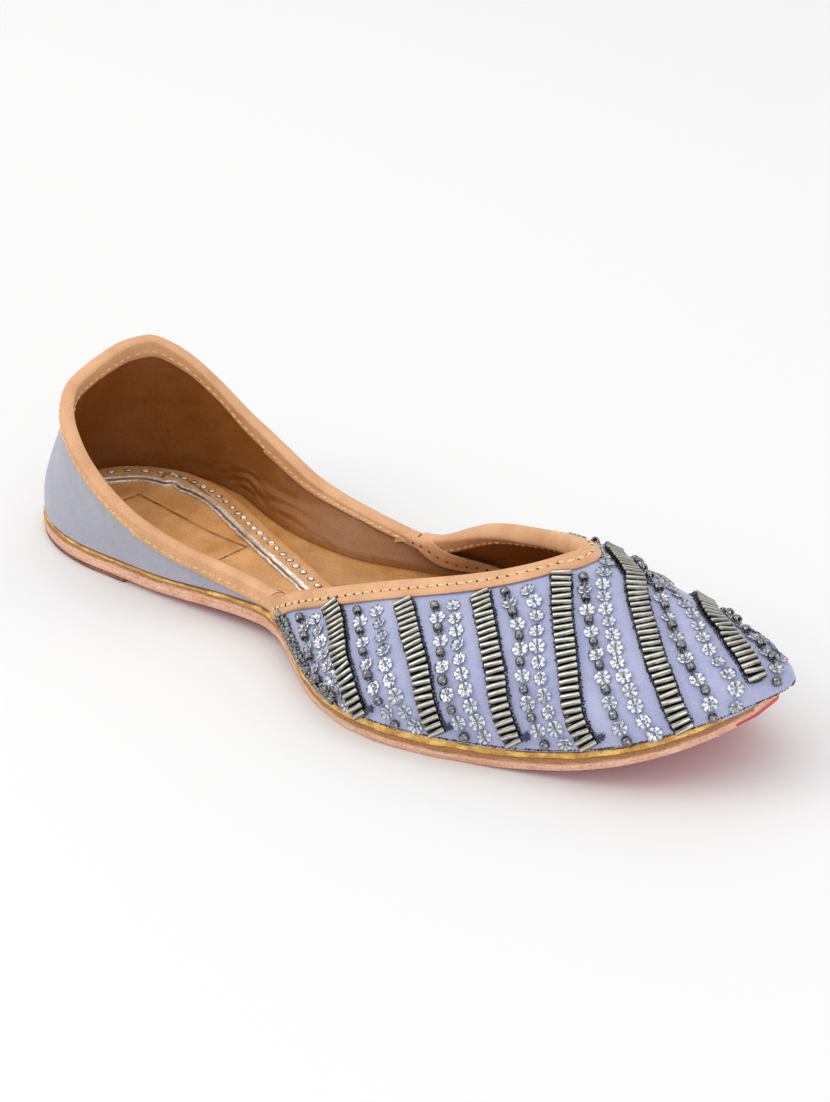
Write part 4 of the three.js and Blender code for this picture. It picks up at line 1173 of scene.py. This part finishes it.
class ShoeColours(bpy.types.PropertyGroup):
    vamp: swatch("Vamp", "Cloth of the vamp", "#b5b9d2")
    quarter: swatch("Quarter", "Cloth of the quarter", "#acadbb")
    binding: swatch("Binding", "Leather of the bindings", "#dcab80")
    lining: swatch("Lining", "Leather of the lining", "#98622b")
    insole: swatch("Insole", "Leather of the insole", "#c08c4f")
    sock: swatch("Sock", "Leather of the heel sock and its border", "#d8a268")
    rand: swatch("Rand", "Mustard of the rand", "#f2c468")
    floor: swatch("Floor", "Studio floor", "#e3e3e3")


# Operators


class MOJARI_OT_stage(bpy.types.Operator):
    """Floor, soft lights and the camera at the photograph's angle."""

    bl_idname = "mojari.stage"
    bl_label = "Stage"

    def execute(self, context):
        scene = context.scene
        mesh = bpy.data.meshes.new("floor")
        mesh.from_pydata([(x * FLOOR, y * FLOOR, 0) for x, y in ((-1, -1), (1, -1), (1, 1), (-1, 1))],
                         [], [(0, 1, 2, 3)])
        # Matt white paper, which shows soft shadows and no gloss
        material, _, shader = new_material("studio_floor")
        for name, value in (("Base Color", chosen("floor")), ("Roughness", 0.6), ("Specular IOR Level", 0.2)):
            shader.inputs[name].default_value = value
        mesh.materials.append(material)
        floor = bpy.data.objects.new("floor", mesh)
        scene.collection.objects.link(floor)

        scene.world = bpy.data.worlds.new("studio")
        scene.world.use_nodes = True
        background = scene.world.node_tree.nodes["Background"]
        background.inputs[0].default_value = colour("#f6f6f6")
        background.inputs[1].default_value = 1.0
        for name, place, size, power, tint in LIGHTS:
            light = bpy.data.lights.new(name, "AREA")
            light.shape, light.size, light.energy = "DISK", size, power
            light.color = colour(tint)[:3]
            lamp = bpy.data.objects.new(name, light)
            scene.collection.objects.link(lamp)
            lamp.location = place
            lamp.rotation_euler = (-Vector(place)).to_track_quat("-Z", "Y").to_euler()
        self.point_camera(scene)
        return {"FINISHED"}

    def point_camera(self, scene):
        """Stands the camera off its target along the matched direction, rolled a little."""
        azimuth, elevation, roll = map(math.radians, (CAMERA_AZIMUTH, CAMERA_ELEVATION, CAMERA_ROLL))
        back = Vector((math.sin(azimuth) * math.cos(elevation), -math.cos(azimuth) * math.cos(elevation),
                       math.sin(elevation)))
        level = Vector((math.cos(azimuth), math.sin(azimuth), 0))
        upright = back.cross(level)
        right = level * math.cos(roll) + upright * math.sin(roll)
        up = upright * math.cos(roll) - level * math.sin(roll)
        data = bpy.data.cameras.new("camera")
        data.sensor_width, data.sensor_fit = 36, "AUTO"
        data.lens, data.clip_start, data.clip_end = CAMERA_LENS, 0.01, 30
        camera = bpy.data.objects.new("camera", data)
        stand = Vector(CAMERA_TARGET) / 1000 + back * CAMERA_DISTANCE / 1000
        camera.matrix_world = Matrix.Translation(stand) @ Matrix((right, up, back)).transposed().to_4x4()
        scene.collection.objects.link(camera)
        scene.camera = camera
        scene.view_settings.view_transform = "Standard"


class MOJARI_OT_sole(bpy.types.Operator):
    """Heel lift, outsole and rand."""

    bl_idname = "mojari.sole"
    bl_label = "Sole, heel lift and rand"

    def execute(self, context):
        sole_layer("outsole", ("cut_leather_edge", "red_painted_leather", "sock_leather"), SOLE_ALONG,
                   underside, top_of_sole, 0.0, SOLE_PROFILE, 0.18, 5)
        sole_layer("heel_lift", ("lift_leather",), LIFT_LENGTH - HEEL_ROUND, np.zeros_like,
                   lambda x: np.full_like(x, LIFT - HAIR), 0.3, LIFT_PROFILE, 0.1, 9)

        along = sole_stations(SOLE_ALONG, 1.0)
        edges = []
        for setback in (RAND_SETBACK, RAND_SETBACK + RAND_SHOWN):
            near, far = (np.stack(outline(side, along, setback), -1) for side in SIDES)
            edges.append(np.concatenate([near, far[::-1][:-1]]))
        outer, inner = edges
        run = run_of(outer)
        centre = (outer + inner) / 2
        # The rand stands out further and less evenly toward the toe
        forward = smoothstep(outer[:, 0], *RAND_SPREADS)
        uneven = (0.24 + 0.14 * forward) * wander(run, 21, 4.5) + 0.14 * wander(run, 22, 1.8)
        outer = centre + (outer - centre) * (1.05 + 1.2 * forward + uneven)[:, None]
        low = top_of_sole(outer[:, 0]) + HAIR
        full = 0.55 + (RAND - 0.2) * smoothstep(outer[:, 0], *RAND_SWELLS)
        high = low + full * (1 + 0.24 * wander(run, 23, 7) + 0.16 * wander(run, 24, 2.6))
        swept_strip("rand_strip", "mustard_rand", inner, outer, low, high, run, "rand", "rand", meets=True)
        # The turned-in edge of the upper: dark leather that is also painted shade in the gap above the rand
        edge = centre + (outer - centre) * 0.2
        swept_strip("turned_edge", "lift_leather", inner, edge, low + GAP, seat(edge[:, 0]) + GAP, run,
                    "rand", "rand", meets=True)
        return {"FINISHED"}


class MOJARI_OT_upper(bpy.types.Operator):
    """Cloth quarter, cloth vamp and leather lining."""

    bl_idname = "mojari.upper"
    bl_label = "Upper"

    def execute(self, context):
        heel, nose = dict.fromkeys(SIDES, -HEEL_ARC), dict.fromkeys(SIDES, NOSE_ALONG)
        quarter_end = {side: NOTCH[side] + 9 for side in SIDES}
        vamp_start = {side: NOTCH[side] + NOTCH_HALF for side in SIDES}
        wall_shell("quarter_cloth", "quarter_satin", heel, quarter_end, (flat(0.0), flat(-CLOTH)), hem, cloth_relief)
        wall_shell("vamp_cloth", "vamp_satin", vamp_start, nose, (flat(VAMP_STEP), flat(0.1)), hem, cloth_relief)
        wall_shell("lining", "lining_leather", heel, nose, (flat(-CLOTH - 0.1), lambda along: -wall_at(along)),
                   flat(0.9), lining_relief, rows=60)

        # The cloth is turned in under the nose, which stands out past the sole. It is thick enough to close the
        # gap down to the rand, and thins toward its fold.
        along = np.linspace(NOSE_ALONG - 18, NOSE_ALONG, 24)
        flap = between(foot(NEAR, along)[:, None], foot(FAR, along)[:, None], np.linspace(0, 1, 11)[None, :, None])
        thick = 0.35 + 1.5 * (1 - smoothstep(HEEL_ROUND + along, SOLE_END - 1, NOSE_END - 1))
        turning = Patches()
        turning.wall(flap + [0, 0, 0.15], flap - thick[:, None, None] * np.array([0, 0, 1]), flap[..., :2])
        turning.make("nose_turning", ["vamp_satin"], "upper", "upper")
        return {"FINISHED"}


class MOJARI_OT_bindings(bpy.types.Operator):
    """Leather strips folded over the toplines of quarter and vamp, and the quarter's tails."""

    bl_idname = "mojari.bindings"
    bl_label = "Bindings"

    def execute(self, context):
        quarter = [(side, stations(-HEEL_ARC, NOTCH[side] - NOTCH_HALF, 1.2)) for side in SIDES]
        vamp = [(side, stations(NOTCH[side] + NOTCH_HALF, THROAT, 0.9)[::-1]) for side in SIDES]
        binding_strip("quarter_binding", quarter, QUARTER_FACE, 0.0, INNER_FACE)
        binding_strip("vamp_binding", vamp, VAMP_FACE, VAMP_STEP, VAMP_INNER_FACE)
        for side, node in zip(SIDES, ("quarter_tail_near", "quarter_tail_far")):
            along, front, behind, _ = tail_faces(side)
            sheet = Patches()
            sheet.wall(front, behind, arc_uv(along, front))
            sheet.make(f"{node}_strip", ["binding_leather"], node, node)
        return {"FINISHED"}


class MOJARI_OT_insole(bpy.types.Operator):
    """Insole pad, heel sock with its stamped frame, and the punched border."""

    bl_idname = "mojari.insole"
    bl_label = "Insole"

    def execute(self, context):
        sole_layer("insole_pad", ("insole_leather",), SOLE_ALONG - 9, lambda x: top_of_sole(x) + BED, floor_top,
                   PAD_SHOWN, PAD_PROFILE, 0.05, 31, across=31)

        at = np.concatenate([np.linspace(9.3, 30, 40)[:-1], np.linspace(30, 112, 110)])
        far = sock_line(at) + BORDER_OUTER
        reach = np.maximum(0, 1 - ((HEEL_ROUND - at) / (HEEL_ROUND - SOCK_SETBACK)) ** 2)
        heel_y = -(HEEL_HALF[NEAR] - SOCK_SETBACK) * np.sqrt(reach)
        near = np.where(at < HEEL_ROUND, heel_y, outline(NEAR, at - HEEL_ROUND, SOCK_SETBACK)[1])
        share = np.linspace(0, 1, 60)
        y = between(near[:, None], far[:, None], share)
        x = np.broadcast_to(at[:, None], y.shape)
        edge = np.minimum(share, 1 - share)
        high = floor_top(x) + GAP + SOCK * (0.55 + 0.45 * smoothstep(edge, 0, 0.03))
        high = high - self.frame_press(x, y) + 0.08 * wander(x + y, 41, 8)
        top, bottom = np.stack([x, y, high], -1), np.stack([x, y, floor_top(x) + BED], -1)
        sheet = Patches()
        sheet.wall(top, bottom, top[..., :2])
        sheet.make("heel_sock_leather", ["sock_leather"], "heel_sock", "heel_sock")

        run = np.concatenate([np.linspace(10, 30, 50)[:-1], np.linspace(30, 111, 120)])
        outer, inner = self.border_line(run, BORDER_OUTER - 0.4), self.border_line(run, -BORDER_INNER)
        base = floor_top(run) + GAP + SOCK + BED
        swept_strip("sock_border_strip", "sock_leather", inner, outer, base, base + GAP + BORDER, run,
                    "sock_border", "sock_border")
        self.foil(run)
        self.punches(run)
        return {"FINISHED"}

    def frame_press(self, x, y):
        """Depth of the stamped frame: a blank rectangle with a fine pressed outline."""
        run, across = Vector(STAMP_RUN).normalized(), Vector((-STAMP_RUN[1], STAMP_RUN[0])).normalized()
        u, v = ((x - STAMP_AT[0]) * way.x + (y - STAMP_AT[1]) * way.y for way in (run, across))
        edge = np.maximum(np.abs(u) - STAMP_HALF[0], np.abs(v) - STAMP_HALF[1])
        return 0.5 * np.exp(-((edge / 0.45) ** 2)) + 0.12 * smoothstep(-edge, 0, 0.8)

    def border_line(self, at, offset):
        """Line in plan, a way to the side of the border's middle."""
        slope = (sock_line(at + 0.2) - sock_line(at - 0.2)) / 0.4
        out = unit(np.stack([-slope, np.ones_like(slope)], -1))
        return np.stack([at, sock_line(at)], -1) + out * np.asarray(offset, float)[..., None]

    def foil(self, run):
        """Folded silver foil along the inner edge."""
        waver = 1.1 * wander(run, 51, 4) * (1 - smoothstep(run, 25, 60)) + 0.2 * wander(run, 52, 2.5)
        ground = floor_top(run) + GAP + SOCK
        for name, offset, width, low in (
            ("foil_edge", 0.8 - BORDER_INNER, 1.4, ground + (GAP + BORDER - 0.3)),
            ("foil_edge_second", -0.6 - BORDER_INNER, 0.8, ground),
        ):
            outer, inner = (self.border_line(run, offset + waver + half) for half in (width / 2, -width / 2))
            swept_strip(name, "silver_foil", inner, outer, low, low + 0.55, run, "sock_border")

    def punches(self, run):
        """Foil that shows in the punched holes, and dark rings of painted shade on the holes' walls: wider apart round
        the back.
        """
        top = floor_top(run) + GAP + SOCK + GAP + BORDER + 0.1
        line = np.concatenate([self.border_line(run, 0.4 * np.ones_like(run)), top[:, None]], -1)
        outs = np.tile([0.0, 0.0, 1.0], (len(line), 1))
        oval = Matrix.Diagonal((1.25, 1, 1, 1)) @ UPRIGHT
        hole = turned("hole_template", ((0.12, 0.02), (0.14, 0.5), (0.04, 0.9), (-0.3, 0.85), (-0.3, 0.02)), 12, oval)
        # The lip is a dark ring of painted shade on the wall of each punched hole
        lip = turned("lip_template", ((0.0, 0.02), (0.02, 1.0), (-0.05, 1.14), (-0.3, 1.1), (-0.3, 0.02)), 12, oval)
        for name, part, pitch in (("back", run < 30, 4.9), ("side", run >= 28, 3.9)):
            along = [(line[part], outs[part])]
            repeat(f"punched_foil_{name}", "sock_border", hole, along, pitch, "silver_foil",
                   (14, 14, 25), (0.8, 1.15), 6)
            repeat(f"punched_edge_{name}", "sock_border", lip, along, pitch, "needle_hole",
                   (3, 3, 25), (0.9, 1.05), 6)
        drop(hole, lip)


class MOJARI_OT_stitches(bpy.types.Operator):
    """Stitches of the bindings and of the sole, with their needle holes."""

    bl_idname = "mojari.stitches"
    bl_label = "Stitches"

    def row(self, on_quarter, width, lift, inside=False):
        """One line round both sides of a binding, a way below its topline."""
        way = -1 if on_quarter else 1
        rows = []
        for side in SIDES:
            ends = (-HEEL_ARC, NOTCH[side] - 1) if on_quarter else (NOTCH[side] + 2, THROAT)
            along = stations(*ends, 1.0)
            at, rise = below(side, along, width)
            shift = -(wall_at(along) + lift) if inside else np.full_like(along, lift)
            rows.append((lifted(side, at, rise, shift), normal(side, at, rise)))
        return tuple(np.concatenate([near[::way], far[::-way][1:]]) for near, far in zip(*rows))

    def execute(self, context):
        pitch = context.scene.mojari_sizes.stitch * 1000
        thread = capsule("stitch_template", pitch * 0.84, 0.8, 0.7, 0.14)
        # Each needle hole is a dark patch of painted shade
        hole = capsule("needle_template", 0.95, 0.85, 0.4)
        nub = capsule("nub_template", 1.5, 0.6, 0.5)
        face = GAP + BINDING
        quarter = self.row(True, QUARTER_FACE - 2.1, face)
        vamp = self.row(False, VAMP_FACE * 0.52, VAMP_STEP + face + HAIR)
        # The inner rows face inward
        inner = [(line, -out) for line, out in (
            self.row(True, 3.1, face + HAIR, inside=True), self.row(False, 2.0, face + HAIR, inside=True))]
        _, front, _, out = tail_faces(FAR)
        tail = (front[9:, 7], out[9:, 7])
        under = []
        for side in SIDES:
            x, y = outline(side, np.linspace(LIFT_LENGTH - HEEL_ROUND + 4, SOLE_ALONG - 2, 220), 0.9)
            out = np.stack([0 * x, np.full_like(x, side), np.full_like(x, -1)], -1)
            under.append((np.stack([x, y, underside(x) + 0.42], -1), unit(out)))
        for name, slot, item, lines, spacing, finish, tilt, sizes, seed in (
            ("quarter_stitches", "quarter_binding", thread, [quarter], pitch, "gold_thread", (0, 6, 9), (0.85, 1.1), 2),
            ("vamp_stitches", "vamp_binding", thread, [vamp], pitch, "cream_thread", (0, 5, 6), (0.85, 1.08), 3),
            ("needle_holes", "vamp_binding", hole, [tuple(part[1:] for part in vamp)], pitch, "needle_hole",
             (0, 0, 20), (0.7, 1.15), 4),
            ("inner_stitches", "quarter_binding", thread, inner, pitch, "gold_thread", (0, 5, 8), (0.7, 0.95), 5),
            ("tail_holes", "quarter_binding", hole, [tail], pitch, "needle_hole", (0, 0, 20), (0.8, 1.0), 4),
            ("sole_stitches", "outsole", nub, under, 7.6, "white_thread", (10, 10, 12), (0.7, 1.05), 7),
        ):
            repeat(name, slot, item, lines, spacing, finish, tilt, sizes, seed)
        drop(thread, hole, nub)
        return {"FINISHED"}


class MOJARI_OT_beadwork(bpy.types.Operator):
    """Bands of bugle beads, strings of round beads and cup sequins, and their threads."""

    bl_idname = "mojari.beadwork"
    bl_label = "Beadwork"

    def execute(self, context):
        sizes = context.scene.mojari_sizes
        self.bands(sizes.bugle * 1000, sizes.bugle_width * 500, sizes.seed)
        self.strings(sizes.bead * 500, sizes.sequin * 500, sizes.seed)
        return {"FINISHED"}

    def bands(self, length, radius, seed):
        """Bugle bands, a dark thread layer under them that is also painted shade in their gaps, the threads beside
        them, and a row of small dark loops along the vamp's foot.
        """
        half, pitch = length / 2, radius * 2
        bugle = turned("bugle_template", (
            (-half, 0.4), (-half, radius * 0.86), (-half + 0.18, radius), (half - 0.18, radius),
            (half, radius * 0.86), (half, 0.4)), 10, SIDEWAYS)
        # Dark thread under the bugles, wide enough to lie as one layer: it also stands for the painted shade in the
        # gaps between them
        laid = capsule("laid_template", length * 0.86, pitch * 1.3, 0.5, place=SIDEWAYS)
        end_loop = capsule("loop_template", 1.1, 0.45, 0.5, 0.25)
        lines = [surface_line(table, VAMP_STEP + radius + 0.1) for table in (*BUGLE_LINES, *map(far_wing, FAR_BUGLES))]
        under = [(line - out * radius * 0.9, out) for line, out in lines]
        loops, clumps = [], []
        for line, out in lines:
            across = across_of(line, out)
            for way in (-1, 1):
                loops.append((line + across * way * (half + 0.2) - out * (radius * 0.7), out))
            if line[0, 1] < 0:
                last = 0 if line[0, 2] < line[-1, 2] else -1
                middle = line[last] - out[last] * 0.5
                clumps.append((middle + across[last] * np.linspace(0.2, 4.4, 8)[:, None], np.tile(out[last], (8, 1))))
        # A row of small dark loops along the vamp's foot, for the dark line where the cloth meets the rand
        foot_lines = [surface_line([(at, climb_of(side, 0.012)) for at in (NOTCH[side] + 1, 110, 160, NOSE_ALONG - 0.2)],
                             VAMP_STEP + 0.05, 240) for side in SIDES]
        for name, item, where, spacing, finish, tilt, sizes, extra in (
            ("bugle_bands", bugle, lines, pitch, "pewter_glass", (2, 5, 6), (0.93, 1.03), 0),
            ("band_threads", laid, under, pitch, "dark_thread", (0, 0, 3), (0.95, 1.0), 8),
            ("thread_loops", end_loop, loops, pitch / 2, "dark_thread", (25, 25, 70), (0.6, 1.3), 1),
            ("hem_threads", end_loop, foot_lines, 0.9, "dark_thread", (20, 25, 40), (0.5, 1.25), 7),
            ("thread_clumps", end_loop, clumps, 0.13, "navy_thread", (70, 70, 180), (0.9, 2.4), 9),
        ):
            repeat(name, "upper", item, where, spacing, finish, tilt, sizes, seed + extra)
        drop(bugle, laid, end_loop)

    def strings(self, bead_r, sequin_r, seed):
        """Strings of round beads with a cup sequin between each two, and strings of sequins alone."""
        bore = 0.45
        wall = (bead_r - bore) / 2
        ring = [(math.cos(a) * bead_r * 0.84, bore + wall + math.sin(a) * wall)
                for a in np.linspace(0, 2 * np.pi, 8, endpoint=False)]
        bead = turned("bead_template", ring, 12, Matrix.Translation((0, 0, 0.0007 * bead_r)))
        cup = turned("sequin_template", (
            (0.1, 0.35), (0.02, 0.6), (0.16, sequin_r * 0.55), (0.5, sequin_r), (0.62, sequin_r * 0.98),
            (0.28, sequin_r * 0.55), (0.14, 0.6), (0.2, 0.35)), 16, UPRIGHT)
        strand = capsule("strand_template", 2.5, 0.28, 0.28, 0.1)
        edge = []
        for side in SIDES:
            table = [(along + (NOTCH[side] - NOTCH[NEAR]) * (1 - i / 6), climb_of(side, rise))
                     for i, (along, rise) in enumerate(EDGE_BEADS)]
            line, out = surface_line(table, VAMP_STEP - 0.1)
            edge += [(line, out), trimmed_line(line - across_of(line, out) * side * 1.9, out, 1.0)]
        strings, sequins = ([surface_line(table, VAMP_STEP + 0.1) for table in (*tables, *map(far_wing, tops))]
                            for tables, tops in ((BEAD_LINES, FAR_BEADS), (SEQUIN_LINES, FAR_SEQUINS)))
        pitch = bead_r * 2 + sequin_r * 2 * 0.96
        rounds, gaps = [], []
        for line, out in strings:
            # A line of a whole number of pitches is cut a hair shorter, so that beads and sequins keep step
            if run_of(line)[-1] / pitch % 1 < 0.08:
                line, out = trimmed_line(line, out, pitch * 0.06)
            length = run_of(line)[-1]
            rounds.append((line, out))
            gaps.append(trimmed_line(line, out, length / max(int(length / pitch), 1) / 2))
        held = [(line + out * 0.75, out) for line, out in strings + sequins]
        for name, item, where, spacing, finish, tilt, sizes, extra in (
            ("edge_beads", bead, edge, bead_r * 1.3, "pewter_bead", (30, 30, 70), (0.5, 0.72), 6),
            ("round_beads", bead, rounds, pitch, "pewter_bead", (6, 8, 12), (0.9, 1.06), 2),
            ("string_sequins", cup, gaps, pitch, "silver_sequin", (12, 12, 180), (0.9, 1.05), 3),
            ("sequin_strings", cup, sequins, sequin_r * 2 * 1.02, "silver_sequin", (12, 12, 180), (0.88, 1.05), 4),
            ("string_threads", strand, held, 2.1, "grey_thread", (0, 8, 10), (0.9, 1.1), 5),
        ):
            repeat(name, "upper", item, where, spacing, finish, tilt, sizes, seed + extra)
        drop(bead, cup, strand)


class MOJARI_PT_panel(bpy.types.Panel):
    """The mojari's operators and sizes."""

    bl_idname = "MOJARI_PT_panel"
    bl_label = "Mojari shoe"
    bl_space_type = "VIEW_3D"
    bl_region_type = "UI"
    bl_category = "Mojari"

    def draw(self, context):
        for piece in PIECES:
            self.layout.operator(piece.bl_idname, text=piece.bl_label)
        for name in ShoeSizes.__annotations__:
            self.layout.prop(context.scene.mojari_sizes, name)
        for name in ShoeColours.__annotations__:
            self.layout.prop(context.scene.mojari_colours, name)


PIECES = (
    MOJARI_OT_stage, MOJARI_OT_sole, MOJARI_OT_insole, MOJARI_OT_upper, MOJARI_OT_bindings,
    MOJARI_OT_stitches, MOJARI_OT_beadwork,
)
CLASSES = (ShoeSizes, ShoeColours, *PIECES, MOJARI_PT_panel)


def register():
    for item in CLASSES:
        bpy.utils.register_class(item)
    bpy.types.Scene.mojari_sizes = PointerProperty(type=ShoeSizes)
    bpy.types.Scene.mojari_colours = PointerProperty(type=ShoeColours)


def unregister():
    del bpy.types.Scene.mojari_sizes
    del bpy.types.Scene.mojari_colours
    for item in reversed(CLASSES):
        bpy.utils.unregister_class(item)


def main():
    register()
    bpy.ops.mojari.stage()
    bpy.ops.mojari.sole()
    bpy.ops.mojari.insole()
    bpy.ops.mojari.upper()
    bpy.ops.mojari.bindings()
    bpy.ops.mojari.stitches()
    bpy.ops.mojari.beadwork()


if __name__ == "__main__":
    main()
